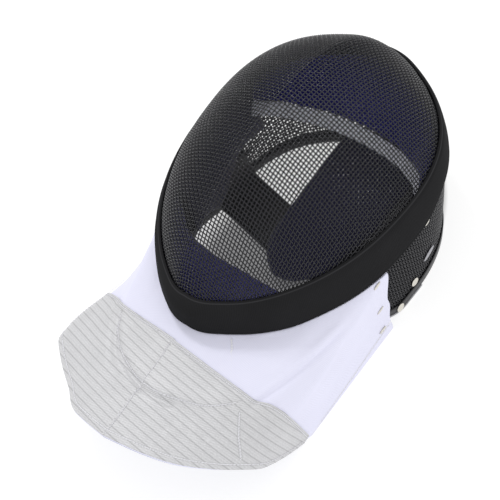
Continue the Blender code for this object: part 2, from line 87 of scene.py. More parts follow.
# Trim band, bib, pads and strap
TRIM_THICK = 3.6 * MM
TRIM_GAP = 0.6 * MM
BIB_WALL = 3.0 * MM
BIB_SEAT = 2.1 * MM
RIGHT_SAG = 14.2 * MM
PANEL_WALL = 1.0 * MM
LINING_WALL = 1.0 * MM
PAD_GAP = 0.5 * MM
PAD_THICK = 8.0 * MM
PAD_FORWARD = 14.0 * MM     # where the forehead and chin pads meet the wall
PAD_INSET = MESH_WALL + PAD_GAP + 3.5 * MM
PAD_SWELL = 1.6 * MM        # the furthest that any point of a pad may move
PAD_PRESSURE = 4.0
PAD_STEPS = 20              # steps of the cloth simulation
CHEEK_FORWARD = (-71.0 * MM, 10.0 * MM)
CHEEK_CUT = 27.0 * MM
CHEEK_THICK = 6.5 * MM
CHEEK_SPREAD = 33.0         # degrees up and down from the middle
BAND_THICK = 3.6 * MM
BAND_SHOWN = 12.5 * MM
BAND_LAP = 3.5 * MM         # the cloth band laps over the pad's edge, where the solids meet
TONGUE_HALF = 40.0 * MM
TONGUE_LOW_Y = -43.0 * MM
TONGUE_THICK = 9.0 * MM
TONGUE_BOTTOM = 6.0 * MM
TONGUE_ASIDE = 5.0 * MM
STRAP_WIDTH = 44.0 * MM
STRAP_THICK = 1.6 * MM
STRAP_DROP = 20.0 * MM
STRAP_TOP = 9.0 * MM
GAP = 0.3 * MM
RIM_INSET = MESH_WALL + GAP + RIM_SKIN + GAP        # room inside the side mesh and its binding

TRIM_COLUMNS = ("below", "front", "rear", "rear_out")
TRIM_EDGES = (
    (-90.0, 20.6, -10.0, 4.2),
    (-35.0, 22.2, -10.0, 4.2),
    (-17.0, 23.0, -16.5, 4.2),
    (10.0, 24.1, -17.5, 4.2),
    (29.0, 24.9, -14.0, 6.6),
    (45.0, 25.6, -9.0, 9.4),
    (57.0, 26.0, -6.5, 11.4),
    (69.0, 26.5, -4.0, 11.0),
    (80.0, 28.5, -1.0, 9.8),
    (90.0, 31.0, 0.0, 8.2),
)
# The trim's section: share of the way from its front to its rear edge, and share of its thickness
TRIM_PROFILE = (
    (0.0, 0.15), (0.008, 0.42), (0.03, 0.62), (0.07, 0.72), (0.14, 0.80), (0.25, 0.88), (0.38, 0.94),
    (0.52, 0.98), (0.66, 1.0), (0.76, 1.0), (0.84, 1.0), (0.885, 0.97), (0.905, 0.9), (0.925, 0.97),
    (0.96, 0.99), (0.985, 0.93), (1.0, 0.75), (1.0, 0.3), (0.985, 0.05), (0.9, 0.0), (0.8, 0.0),
    (0.66, 0.0), (0.5, 0.0), (0.33, 0.0),
)
PAD_COLUMNS = ("x", "y", "forward")
FOREHEAD_EDGE = (
    (0.0, 83.5, -25.5),
    (30.0, 81.0, -24.5),
    (50.0, 75.0, -21.5),
    (70.0, 64.0, -12.5),
    (83.0, 50.0, -3.0),
)
CHIN_EDGE = ((0.0, -66.0, -46.0), (50.0, -66.0, -46.0), (76.0, -64.0, -44.0))
BIB_COLUMNS = ("along", "top_angle", "top_back", "top_out", "low_x", "low_y", "low_f",
               "right_x", "right_y", "right_f")
BIB_SECTIONS = (
    (0.00, 90.0, 0.0, 6.1, 0.0, -244.0, -6.0, 0.0, 0.0, 0.0),
    (0.18, 75.0, 0.0, 8.3, 31.0, -239.0, -9.0, 0.0, -1.0, 0.0),
    (0.36, 57.0, 0.0, 9.3, 56.0, -231.5, -14.0, -3.0, 6.0, 0.0),
    (0.52, 38.0, 0.0, 6.1, 77.0, -219.0, -22.0, 0.0, 9.0, 2.0),
    (0.64, 20.0, 0.0, 3.2, 91.0, -203.0, -36.0, 5.0, 10.0, 8.0),
    (0.72, 10.5, 1.5, 2.1, 96.5, -189.0, -52.0, 3.0, 8.0, 9.0),
    (0.86, 14.0, 34.0, 2.1, 98.0, -168.0, -68.0, 1.0, 4.0, 4.0),
    (1.00, 18.0, 64.9, 7.0, 98.5, -138.0, -84.9, 0.0, 0.0, 0.0),
)
PANEL_COLUMNS = ("across", "y")
PANEL_EDGE = (
    (-1.00, -139.0),
    (-0.50, -144.0),
    (-0.34, -148.0),
    (0.00, -153.0),
    (0.21, -156.0),
    (0.47, -157.0),
    (0.58, -151.0),
    (0.71, -147.0),
    (1.00, -140.0),
)
# Directions square to the panel's dark threads, on the wearer's right and left of its seam
THREAD_NORMALS = ((0.171, 0.954, 0.242), (0.127, 0.955, 0.268))
THREAD_SHIFT = 3.6 * MM     # how far down the panel the first of them lies
THREAD_STEP = 1.8 * MM      # how much further down they lie on the wearer's right
RIVETS = (
    {"name": "front", "forward": -20.4, "y": 36.5, "off": 0.35},
    {"name": "upper", "forward": -72.6, "y": 8.2, "off": 0.35},
    {"name": "lower", "forward": -79.0, "y": -14.0, "off": 1.80},
)
STAPLES = (
    {"name": "front", "along": 0.688, "down": 0.047},
    {"name": "middle", "along": 0.843, "down": 0.081},
    {"name": "rear", "along": 0.944, "down": 0.096},
)
# The strap's half: share of the way from its middle to the wall, and its height above the floor
STRAP_LINE = (
    (0.0, 3.4), (0.3, 3.4), (0.6, 3.4), (0.82, 3.4), (0.93, 3.4), (0.975, 4.6), (1.0, 10.5), (1.0, 15.0),
    (1.0, 36.0),
)
PIPING = ((-22.0, 8.0), (172.0, 202.0))     # degrees round the rim
PIPING_RADIUS = 0.65 * MM
RIM_COLOUR = (0.016, 0.016, 0.018)
PIPING_COLOUR = (0.42, 0.42, 0.44)
PLATE_COLOUR = (0.42, 0.42, 0.45)
SIDE_PLATE = {"forward": -62.0, "y": 31.0, "off": 0.4}
# Half lengths along and across each metal piece
RIVET_SIZE = (4.0 * MM, 4.0 * MM)
PLATE_SIZE = (8.0 * MM, 2.5 * MM)
STAPLE_SIZE = (4.0 * MM, 1.0 * MM)
LIGHTS = (
    {"name": "key", "at": (-0.8, 0.6, 1.7), "size": 0.25, "share": 0.85},
    {"name": "fill", "at": (1.3, -0.6, 1.5), "size": 0.5, "share": 0.15},
)
LIT_POINT = (0.0, -0.05, 0.08)

FLOOR_HALF = 6.0
FLOOR_Z = -0.5 * MM
PAINTED_WINDOW_LIGHT = 0.56         # share of the floor's glow kept as painted light where the rear opening lets light in

# The camera: its place and its right, up and back directions
CAMERA_AT = (0.657, -0.4699, 1.230)
CAMERA_AXES = (
    (0.7681, 0.5993, -0.2255),
    (-0.4301, 0.7438, 0.5116),
    (0.4743, -0.2960, 0.8291),
)


# ------------------------------------------------------------------ settings

def length(label, about, value):
    return bpy.props.FloatProperty(name=label, description=about, default=value, unit="LENGTH", precision=5)


def colour(label, about, value):
    return bpy.props.FloatVectorProperty(name=label, description=about, default=value, subtype="COLOR",
                                         size=3, min=0.0, max=1.0)


class MaskSizes(bpy.types.PropertyGroup):
    wire_pitch: length("Wire pitch", "Distance between the middles of two front wires", 2.93 * MM)
    wire_thick: length("Wire thickness", "Diameter of a front wire", 1.0 * MM)
    side_pitch: length("Side wire pitch", "Distance between the middles of two side wires", 2.9 * MM)
    side_thick: length("Side wire thickness", "Diameter of a side wire", 1.3 * MM)
    stitch_pitch: length("Stitch pitch", "Distance between two stitches", 2.7 * MM)
    stitch_thick: length("Thread thickness", "Diameter of the sewing thread", 0.5 * MM)
    stripe_pitch: length("Stripe pitch", "Distance between the dark threads of the panel", 5.75 * MM)


class MaskColours(bpy.types.PropertyGroup):
    wire: colour("Wire", "Colour of the painted wire", (0.014, 0.014, 0.017))
    trim: colour("Trim", "Colour of the trim's cloth", (0.0158, 0.0158, 0.0168))
    bib: colour("Bib", "Colour of the bib's cloth", (0.80, 0.80, 0.95))
    panel: colour("Panel", "Colour of the panel's cloth", (0.63, 0.63, 0.645))
    lining: colour("Lining", "Colour of the bib's lining", (0.06, 0.09, 0.32))
    pad_blue: colour("Blue pads", "Colour of the forehead and chin pads", (0.012, 0.012, 0.18))
    pad_navy: colour("Navy pads", "Colour of the cheek pads and the tongue", (0.013, 0.012, 0.05))
    thread: colour("Thread", "Colour of the bib's sewing thread", (0.84, 0.84, 0.88))
    binding: colour("Binding", "Colour of the pale binding on the pads", (0.80, 0.81, 0.88))
    strap: colour("Strap", "Colour of the strap's web", (0.012, 0.012, 0.014))
    steel: colour("Steel", "Colour of the rivets and staples", (0.74, 0.71, 0.64))


class MaskStage(bpy.types.PropertyGroup):
    lens: bpy.props.FloatProperty(name="Lens", description="Focal length on a 36 mm sensor",
                                  default=129.23, unit="CAMERA")
    sky: bpy.props.FloatProperty(name="Sky", description="Strength of the light from all round", default=0.9)
    floor_glow: bpy.props.FloatProperty(name="Floor glow", description="Light that the floor gives off",
                                        default=0.78)
    key: bpy.props.FloatProperty(name="Key light", description="Power of the two lights together",
                                 default=10.0, unit="POWER")


# ------------------------------------------------------------------ shader maths

def math_node(operation):
    """A method of Value that adds one Math node to its graph."""
    def method(self, *others):
        return self.graph.node("ShaderNodeMath", {"operation": operation}, self, *others)
    return method


class Value:
    """One output of a shader graph; Python's operators on it add Math nodes."""

    def __init__(self, graph, socket):
        self.graph = graph
        self.socket = socket

    __add__ = __radd__ = math_node("ADD")
    __mul__ = __rmul__ = math_node("MULTIPLY")
    __sub__ = math_node("SUBTRACT")
    __truediv__ = math_node("DIVIDE")
    __gt__ = math_node("GREATER_THAN")
    __lt__ = math_node("LESS_THAN")
    __abs__ = math_node("ABSOLUTE")
    sin = math_node("SINE")
    fract = math_node("FRACT")
    max = math_node("MAXIMUM")
    min = math_node("MINIMUM")

    def __rsub__(self, other):
        return self.graph.node("ShaderNodeMath", {"operation": "SUBTRACT"}, other, self)

    def held(self):
        """The value held between 0 and 1."""
        return self.max(0.0).min(1.0)


class Graph:
    """A material's nodes round one Principled shader."""

    def __init__(self, name, **constants):
        self.material = bpy.data.materials.new(name)
        self.material.use_nodes = True
        self.tree = self.material.node_tree
        self.shader = self.tree.nodes["Principled BSDF"]
        for socket, value in constants.items():
            self.shader.inputs[socket.replace("_", " ")].default_value = value

    def node(self, kind, settings=None, *values, out=0, **named):
        """Adds a node: its settings first, then its inputs by place or by name."""
        made = self.tree.nodes.new(kind)
        for key, value in (settings or {}).items():
            setattr(made, key, value)
        for place, value in [*enumerate(values), *named.items()]:
            socket = made.inputs[place if isinstance(place, int) else place.replace("_", " ")]
            if isinstance(value, Value):
                self.tree.links.new(value.socket, socket)
            else:
                socket.default_value = value
        return Value(self, made.outputs[out])

    def feed(self, socket, value):
        self.tree.links.new(value.socket, self.shader.inputs[socket])

    def mix(self, share, low, high):
        """Colour between two, each a link or three numbers."""
        made = self.tree.nodes.new("ShaderNodeMix")
        made.data_type = "RGBA"
        made.clamp_factor = True
        for place, value in ((0, share), (6, low), (7, high)):
            if isinstance(value, Value):
                self.tree.links.new(value.socket, made.inputs[place])
            else:
                made.inputs[place].default_value = (*value, 1.0) if place else value
        return Value(self, made.outputs[2])

    def noise(self, scale, detail=3.0, rough=0.5):
        """Noise on the place in the piece's own frame."""
        return self.node("ShaderNodeTexNoise", {}, Vector=self.object_place(), Scale=scale, Detail=detail,
                         Roughness=rough)

    def split(self, vector):
        """The first two numbers of a vector."""
        first = self.node("ShaderNodeSeparateXYZ", {}, vector)
        return first, Value(self, first.socket.node.outputs[1])

    def map_place(self, name):
        """The two lengths of one of the piece's own UV maps, in metres."""
        return self.split(self.node("ShaderNodeUVMap", {"uv_map": name}))

    def object_place(self):
        return self.node("ShaderNodeTexCoord", {}, out=3)

    def bump(self, height, strength, distance):
        made = self.node("ShaderNodeBump", {}, Strength=strength, Distance=distance, Height=height)
        self.feed("Normal", made)


def wave(value, pitch, shift=0.0):
    """A sine of a length, from 0 to 1, with one period to each pitch."""
    return (value * (2 * np.pi / pitch) + shift).sin() * 0.5 + 0.5


def line(value, at, half):
    """1 within half of a place, fading to 0 at twice that."""
    return (2.0 - abs(value - at) / half).held()


def ramp(value, start, size):
    """0 up to a start, rising evenly to 1 over a size."""
    return ((value - start) / size).held()


def weave(along, across, pitch):
    """Plain weave: warp and weft bulge in turn, as the product of two sines."""
    return (along * (np.pi / pitch)).sin() * (across * (np.pi / pitch)).sin()


def tinted(base, factor):
    return tuple(min(1.0, c * factor) for c in base)


# ------------------------------------------------------------------ mesh building

def unit(vectors):
    return vectors / np.maximum(np.linalg.norm(vectors, axis=-1, keepdims=True), 1e-12)


def new_object(name, verts, faces, material, uv=None, sewing=None):
    """Mesh of points and arrays of corners, turned so that its volume is positive.

    The volume is a sixth of the sum of a·(b×c) over the triangles of the fans.
    """
    volume = 0.0
    for block in faces:
        first = verts[block[:, 0]]
        for k in range(1, block.shape[1] - 1):
            volume += np.einsum("ij,ij->", first, np.cross(verts[block[:, k]], verts[block[:, k + 1]]))
    if volume < 0:
        faces = [block[:, ::-1] for block in faces]
        uv = None if uv is None else [block[:, ::-1] for block in uv]
        sewing = None if sewing is None else [block[:, ::-1] for block in sewing]
    corners = np.concatenate([block.ravel() for block in faces]).astype(np.int32)
    counts = np.concatenate([np.full(len(block), block.shape[1]) for block in faces])
    mesh = bpy.data.meshes.new(name)
    mesh.vertices.add(len(verts))
    mesh.vertices.foreach_set("co", np.asarray(verts, np.float32).ravel())
    mesh.loops.add(len(corners))
    mesh.loops.foreach_set("vertex_index", corners)
    mesh.polygons.add(len(counts))
    mesh.polygons.foreach_set("loop_start", (np.cumsum(counts) - counts).astype(np.int32))
    mesh.polygons.foreach_set("use_smooth", np.ones(len(counts), bool))
    for layer, blocks in (("cloth", uv), ("sewing", sewing)):
        if blocks is not None:
            places = np.concatenate([block.reshape(-1, 2) for block in blocks])
            mesh.uv_layers.new(name=layer).uv.foreach_set("vector", places.astype(np.float32).ravel())
    mesh.update(calc_edges=True)
    mesh.validate()
    obj = bpy.data.objects.new(name, mesh)
    obj.data.materials.append(material)
    bpy.context.scene.collection.objects.link(obj)
    return obj


def finish_piece(obj, slot, *nodes):
    """Every piece rides on the one body and stands for its solids; its finish's slot is not used."""
    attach(obj, "root")
    if nodes:
        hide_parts(*nodes)


def grid_corners(rows, columns, closed_rows=False, closed_columns=False):
    """Corners of a grid's quads as unwrapped row and column numbers, each (quads, 4)."""
    i, j = np.meshgrid(np.arange(rows - 1 + closed_rows), np.arange(columns - 1 + closed_columns),
                       indexing="ij")
    return (np.stack([i, i + 1, i + 1, i], -1).reshape(-1, 4),
            np.stack([j, j, j + 1, j + 1], -1).reshape(-1, 4))


def running_length(points, axis, closed=False):
    """Length along a grid's rows or columns, starting from 0."""
    if closed:
        points = np.concatenate([points, np.take(points, [0], axis)], axis)
    steps = np.linalg.norm(np.diff(points, axis=axis), axis=-1)
    zero = np.zeros_like(np.take(steps, [0], axis))
    return np.concatenate([zero, np.cumsum(steps, axis)], axis)


def closed_ring(name, profile, material):
    """Ring (profile points, columns round): both directions close on themselves."""
    rows, columns = profile.shape[:2]
    i, j = grid_corners(rows, columns, True, True)
    around = running_length(profile, 1, True).mean(axis=0)
    along = running_length(profile, 0, True).mean(axis=1)
    uv = np.stack(np.broadcast_arrays(around[None, :], along[:, None]), -1)
    index = (i % rows) * columns + j % columns
    return new_object(name, profile.reshape(-1, 3), [index], material, [uv[i, j]])


def grid_normals(points):
    """Unit normals of a grid from its central differences."""
    down = np.gradient(points, axis=0)
    over = np.gradient(points, axis=1)
    return unit(np.cross(down, over))


def cloth_shell(name, middle, half, material, uv=None, normals=None, round_over=None, seams=None):
    """Closed sheet: two sides stand off a middle surface and meet on its edge.

    The distance is half·sqrt(1 - (1 - d/r)²), where d is the way to the nearest edge and r the
    rounding, so that the edge is a half circle. Each quad takes its sewing map from the one of
    the seams that its corners are nearest to, and only on its front.
    """
    rows, columns = middle.shape[:2]
    half = np.broadcast_to(np.asarray(half, float), (rows, columns))
    down = running_length(middle, 0)
    over = running_length(middle, 1)
    near = np.minimum(np.minimum(down, down[-1:] - down), np.minimum(over, over[:, -1:] - over))
    reach = half.max() if round_over is None else round_over
    share = np.clip(near / reach, 0, 1)
    lift = (half * np.sqrt(1 - (1 - share) ** 2))[..., None]
    if normals is None:
        normals = grid_normals(middle)
    count = rows * columns
    edge = np.zeros((rows, columns), bool)
    edge[[0, -1], :] = True
    edge[:, [0, -1]] = True
    front = np.arange(count).reshape(rows, columns)
    back = np.where(edge, front, count + np.cumsum(~edge).reshape(rows, columns) - 1)
    verts = np.concatenate([(middle + normals * lift).reshape(-1, 3), (middle - normals * lift)[~edge]])
    i, j = grid_corners(rows, columns)
    if uv is None:
        uv = np.stack([over - over[:, columns // 2][:, None], down], -1)
    faces = [front[i, j], back[i, j][:, ::-1]]
    sewing = None
    if seams is not None:
        nearest = np.abs(seams[:, i, j, 0]).mean(axis=2).argmin(axis=0)
        corner = seams[nearest[:, None], i, j]
        sewing = [corner, corner[:, ::-1] + np.array([1.0, 0.0])]
    return new_object(name, verts, faces, material, [uv[i, j], uv[i, j][:, ::-1]], sewing)


def edged_steps(count, length_over, round_over):
    """Shares from 0 to 1 with extra steps near both ends for a round hem."""
    hem = np.array([0.0, 0.06, 0.22, 0.5, 1.0]) * round_over / length_over
    inner = np.linspace(hem[-1], 1 - hem[-1], count)
    return np.concatenate([hem[:-1], inner, 1 - hem[-2::-1]])


def tubes(name, paths, radius, material, sides=5):
    """Round wires: each ring is a path's point + radius·(up·cos a + side·sin a).

    Up is the surface's normal made square to the path, and side is square to both.
    """
    turn = 2 * np.pi * np.arange(sides) / sides
    verts = []
    quads = []
    caps = []
    start = 0
    for points, normals, closed in paths:
        if closed:
            ahead = np.roll(points, -1, 0) - np.roll(points, 1, 0)
        else:
            ahead = np.gradient(points, axis=0)
        side = unit(np.cross(ahead, normals))
        up = unit(np.cross(side, ahead))
        round_it = np.cos(turn)[:, None] * up[:, None] + np.sin(turn)[:, None] * side[:, None]
        ring = points[:, None] + radius * round_it
        i, j = grid_corners(len(points), sides, closed, True)
        quads.append(start + (i % len(points)) * sides + j % sides)
        if not closed:
            caps.append(start + np.arange(sides))
            caps.append(start + (len(points) - 1) * sides + np.arange(sides)[::-1])
        verts.append(ring.reshape(-1, 3))
        start += len(points) * sides
    faces = [np.concatenate(quads)]
    if caps:
        faces.append(np.array(caps))
    return new_object(name, np.concatenate(verts), faces, material)


def runs(mask):
    """Start and end of each unbroken run of three places or more in a mask; the end is left out."""
    padded = np.concatenate([[False], mask, [False]])
    change = np.flatnonzero(padded[1:] != padded[:-1])
    return [(a, b) for a, b in zip(change[::2], change[1::2]) if b - a >= 3]


def smooth_column(rows, index, where):
    """Value of a table's column by a monotone cubic through its rows."""
    x = np.array([row[0] for row in rows])
    y = np.array([row[index] for row in rows])
    step = np.diff(x)
    slope = np.diff(y) / step
    tangent = np.zeros_like(y)
    same = slope[:-1] * slope[1:] > 0
    blend = 2 * slope[:-1] * slope[1:] / np.where(same, slope[:-1] + slope[1:], 1.0)
    tangent[1:-1] = np.where(same, blend, 0.0)
    tangent[-1] = slope[-1]
    cell = np.clip(np.searchsorted(x, where, side="right") - 1, 0, len(x) - 2)
    t = (where - x[cell]) / step[cell]
    low = y[cell] * (1 + 2 * t) * (1 - t) ** 2 + tangent[cell] * step[cell] * t * (1 - t) ** 2
    high = y[cell + 1] * t ** 2 * (3 - 2 * t) + tangent[cell + 1] * step[cell] * t ** 2 * (t - 1)
    return low + high


# ------------------------------------------------------------------ the mask's surfaces

def egg_value(x, y, inset=0.0):
    """Left side of the egg section's equation; it is 1 on the widest outline."""
    half = (HALF_WIDTH - inset) * (1 + WIDER_UP * y)
    tall = np.where(y > 0, CROWN_HEIGHT, CHIN_HEIGHT) - inset
    power = np.where(y > 0, CROWN_POWER, CHIN_POWER)
    soft = 0.1 * MM + CREASE_ROUND * np.minimum(np.abs(y / tall), 1) ** 3
    off_middle = np.abs(x) * np.tanh(np.abs(x) / soft)
    side = ((off_middle / half + CREASE) / (1 + CREASE)) ** SIDE_POWER
    return side + np.abs(y / tall) ** power


def eased(share):
    """Share that starts and ends gently: t²(3 - 2t), held between 0 and 1."""
    share = np.clip(share, 0, 1)
    return share ** 2 * (3 - 2 * share)


def halve(outside, low, high):
    """The place between low and high past which outside turns true, by halving the interval."""
    for _ in range(40):
        middle = (low + high) / 2
        beyond = outside(middle)
        high = np.where(beyond, middle, high)
        low = np.where(beyond, low, middle)
    return low


def egg_radius(angle, level=1.0, inset=0.0):
    """Distance from the middle to the outline egg_value = level."""
    angle = np.asarray(angle, float)
    return halve(lambda r: egg_value(r * np.cos(angle), r * np.sin(angle), inset) > level,
                 np.zeros(angle.shape), np.full(angle.shape, 0.2))


def place(radius, angle, forward):
    """Points from a radius and an angle round the mask and a forward height."""
    radius, angle, forward = np.broadcast_arrays(radius, angle, forward)
    lean = LEAN * np.maximum(forward, SHOULDER)
    return np.stack([radius * np.cos(angle), radius * np.sin(angle) + lean, forward + SECTION_Z], axis=-1)


def front_radius(angle, forward, inset=0.0):
    """Outline of the front mesh at a forward height of 0 or more."""
    return egg_radius(angle, 1 - (forward / (DEPTH - inset)) ** DEPTH_POWER, inset)


def rim_forward(angle):
    """Rear edge of the side mesh: flat on the floor, rising under the chin."""
    return -SECTION_Z + RIM_LIFT_CHIN * eased((-np.sin(angle) - 0.06) / 0.80)


def side_radius(angle, forward, inset=0.0):
    """Outline of the side mesh, which narrows from the widest section back to the rim."""
    back = np.clip(-np.asarray(forward, float) / SECTION_Z, 0, 1) ** TAPER_POWER
    crown = np.maximum(np.sin(angle), 0) ** RIM_SHRINK_POWER
    shrink = back * (RIM_SHRINK_SIDE + RIM_SHRINK_CROWN * crown)
    jaw = np.sin(np.pi * np.clip((0.05 - np.sin(angle)) / 0.75, 0, 1)) ** 2
    return front_radius(angle, SHOULDER) * (1 - shrink) + RIM_FLARE_JAW * jaw * back - inset


def mesh_radius(angle, forward, inset=0.0):
    """Outline of the whole mesh: the front mesh's past the shoulder, and the side mesh's behind it."""
    angle, forward = np.broadcast_arrays(angle, forward)
    ahead = front_radius(angle, np.maximum(forward, SHOULDER)) - inset
    return np.where(forward > SHOULDER, ahead, side_radius(angle, forward, inset))


def wall_angle(y, forward):
    """Angle round the mask at which the side mesh has the height y."""
    y, forward = np.broadcast_arrays(np.asarray(y, float), np.asarray(forward, float))
    angle = np.zeros(y.shape)
    for _ in range(30):
        angle = np.arcsin(np.clip(y / side_radius(angle, forward), -1, 1))
    return angle


def wall_x(y, forward, inset=0.0):
    """Place across the mask of the side mesh's inner wall at a height y."""
    angle = wall_angle(y, forward)
    return (side_radius(angle, forward) - inset) * np.cos(angle)


def crown_y(x, forward, inset=0.0):
    """Height of the crown's inner wall over a place x across the mask."""
    angle = np.full(np.shape(x), np.pi / 2)
    for _ in range(30):
        angle = np.arccos(np.clip(x / (side_radius(angle, forward) - inset), -1, 1))
    return (side_radius(angle, forward) - inset) * np.sin(angle)


def trim_edge(angle, name):
    """One column of the trim's table, the same on both sides of the mask."""
    below = -np.degrees(np.arcsin(np.clip(np.sin(angle), -1, 1)))
    return smooth_column(TRIM_EDGES, TRIM_COLUMNS.index(name), below) * MM


def front_grid(pitch):
    """Places half a pitch apart on the front mesh, by lengths along it from its middle.

    The crease is divided by its own length; at each place on it a cross section runs out to the
    side, x = edge·sin(πt/2), and is divided by its own length too, down to the joint.
    Returns points, normals and which of them exist, (rows, columns, …), and the row and column
    of the middle.
    """
    level = 1 - (SHOULDER / DEPTH) ** DEPTH_POWER
    t = np.linspace(0, 1, 400)
    rows = []
    for end in (-CHIN_HEIGHT * (level - TOP_LEVEL) ** (1 / CHIN_POWER),
                CROWN_HEIGHT * (level - TOP_LEVEL) ** (1 / CROWN_POWER)):
        y = end * np.sin(np.pi * t / 2)
        top = DEPTH * np.maximum(1 - egg_value(0 * y, y), 0) ** (1 / DEPTH_POWER)
        along = running_length(np.stack([y, top], -1), 0)
        rows.append(np.interp(np.arange(0, along[-1], pitch / 2), along, y))
    y = np.concatenate([rows[0][:0:-1], rows[1]])
    middle = len(rows[0]) - 1

    edge = halve(lambda x: egg_value(x, y) > level, np.zeros(y.shape), np.full(y.shape, 0.13))
    x = edge[:, None] * np.sin(np.pi * t / 2)
    forward = DEPTH * np.maximum(1 - egg_value(x, y[:, None]), 1 - level) ** (1 / DEPTH_POWER)
    x = np.concatenate([x, edge[:, None]], axis=1)
    forward = np.concatenate([forward, np.full((len(y), 1), JOINT_FORWARD)], axis=1)
    along = running_length(np.stack([x, forward], -1), 1)
    steps = np.arange(0, along[:, -1].max(), pitch / 2)
    wide = np.array([np.interp(steps, a, b) for a, b in zip(along, x)])
    high = np.array([np.interp(steps, a, b) for a, b in zip(along, forward)])
    real = steps[None, :] <= along[:, -1:]

    wide = np.concatenate([-wide[:, :0:-1], wide], axis=1)
    high = np.concatenate([high[:, :0:-1], high], axis=1)
    real = np.concatenate([real[:, :0:-1], real], axis=1)
    deep = np.broadcast_to(y[:, None], wide.shape)
    step = 0.02 * MM
    slope_x = (egg_value(wide + step, deep) - egg_value(wide - step, deep)) / (2 * step)
    slope_y = (egg_value(wide, deep + step) - egg_value(wide, deep - step)) / (2 * step)
    slope_f = np.where(high > SHOULDER, DEPTH_POWER / DEPTH * (high / DEPTH) ** (DEPTH_POWER - 1), 0.0)
    normal = unit(np.stack([slope_x, slope_y, slope_f - LEAN * slope_y], -1))
    point = np.stack([wide, deep + LEAN * np.maximum(high, SHOULDER), high + SECTION_Z], -1)
    return point, normal, real, middle, len(steps) - 1


def side_grid(pitch):
    """Places half a pitch apart on the side mesh: round it by length, back by height.

    Returns the same as front_grid.
    """
    fine = np.linspace(-np.pi / 2, 1.5 * np.pi, 2000)
    outline = place(side_radius(fine, -10 * MM), fine, -10 * MM)
    around = running_length(outline, 0)
    count = 4 * int(round(around[-1] / pitch / 2))
    angle = np.interp(np.linspace(0, around[-1], count, endpoint=False), around, fine)
    forward = np.arange(JOINT_FORWARD - GAP, -SECTION_Z, -pitch / 2)[:, None]
    angle = np.broadcast_to(angle[None, :], (len(forward), count))
    forward = np.broadcast_to(forward, angle.shape)
    point = place(mesh_radius(angle, forward), angle, forward)
    over = np.roll(point, -1, 1) - np.roll(point, 1, 1)
    normal = unit(np.cross(over, np.gradient(point, axis=0)))
    outwards = np.stack([np.cos(angle), np.sin(angle)], -1)
    normal *= np.sign((normal[..., :2] * outwards).sum(-1, keepdims=True))
    return point, normal, forward > rim_forward(angle) + 2 * MM, 0, 0


def woven(points, normals, real, first_row, first_column, radius, along_rows):
    """Paths of one family of wires. At a crossing a wire lies radius over or under the weave's
    middle, by the sign (-1)^(row + column), and between crossings it passes through the middle.
    """
    rows, columns = points.shape[:2]
    i, j = np.meshgrid(np.arange(rows) - first_row, np.arange(columns) - first_column, indexing="ij")
    crossing = (i % 2 == 0) & (j % 2 == 0)
    sign = np.where(crossing, 1.0 - 2.0 * (((i // 2) + (j // 2)) % 2), 0.0)
    if not along_rows:
        sign = -sign
    placed = points + normals * (sign * radius - MESH_WALL / 2)[..., None]
    paths = []
    if along_rows:
        for k in range(first_row % 2, rows, 2):
            if real[k].all() and first_column == 0:
                paths.append((placed[k], normals[k], True))
                continue
            paths += [(placed[k, a:b], normals[k, a:b], False) for a, b in runs(real[k])]
    else:
        for k in range(first_column % 2, columns, 2):
            paths += [(placed[a:b, k], normals[a:b, k], False) for a, b in runs(real[:, k])]
    return paths


# ------------------------------------------------------------------ the bib's surface

def bib_point(across, down):
    """Middle surface of the bib: across runs from -1 to 1, down from 0 at the mask to 1.

    It falls straight from the mask to its low edge, but sags inwards on the wearer's right.
    """
    across, down = np.broadcast_arrays(np.asarray(across, float), np.asarray(down, float))
    column = {name: smooth_column(BIB_SECTIONS, i, np.abs(across)) for i, name in enumerate(BIB_COLUMNS)}
    angle = -np.radians(column["top_angle"])
    forward = trim_edge(angle, "rear") - BIB_SEAT - column["top_back"] * MM
    top = place(side_radius(angle, forward) + column["top_out"] * MM, angle, forward)
    right = np.where(across < 0, 1.0, 0.0)
    low = np.stack([column[f"low_{axis}"] + right * column[f"right_{axis}"] for axis in "xyf"], axis=-1) * MM
    low[..., 2] += SECTION_Z
    points = top + (low - top) * down[..., None]
    points[..., 0] *= np.where(across < 0, -1.0, 1.0)
    sag = eased((-across - 0.34) / 0.28) * eased((down - 0.1) / 0.35) * eased((0.95 - down) / 0.4)
    points[..., 0] += RIGHT_SAG * sag
    return points


def bib_normal(across, down):
    """Unit normal of the bib, pointing away from the throat."""
    step = 0.004
    inner = np.clip(across, -1 + step, 1 - step)
    along = bib_point(inner + step, down) - bib_point(inner - step, down)
    fall = bib_point(across, down + step) - bib_point(across, down - step)
    return unit(np.cross(fall, along))


def bib_length(across):
    """Length of the bib's fall at places across it."""
    return np.linalg.norm(bib_point(across, 1.0) - bib_point(across, 0.0), axis=-1)


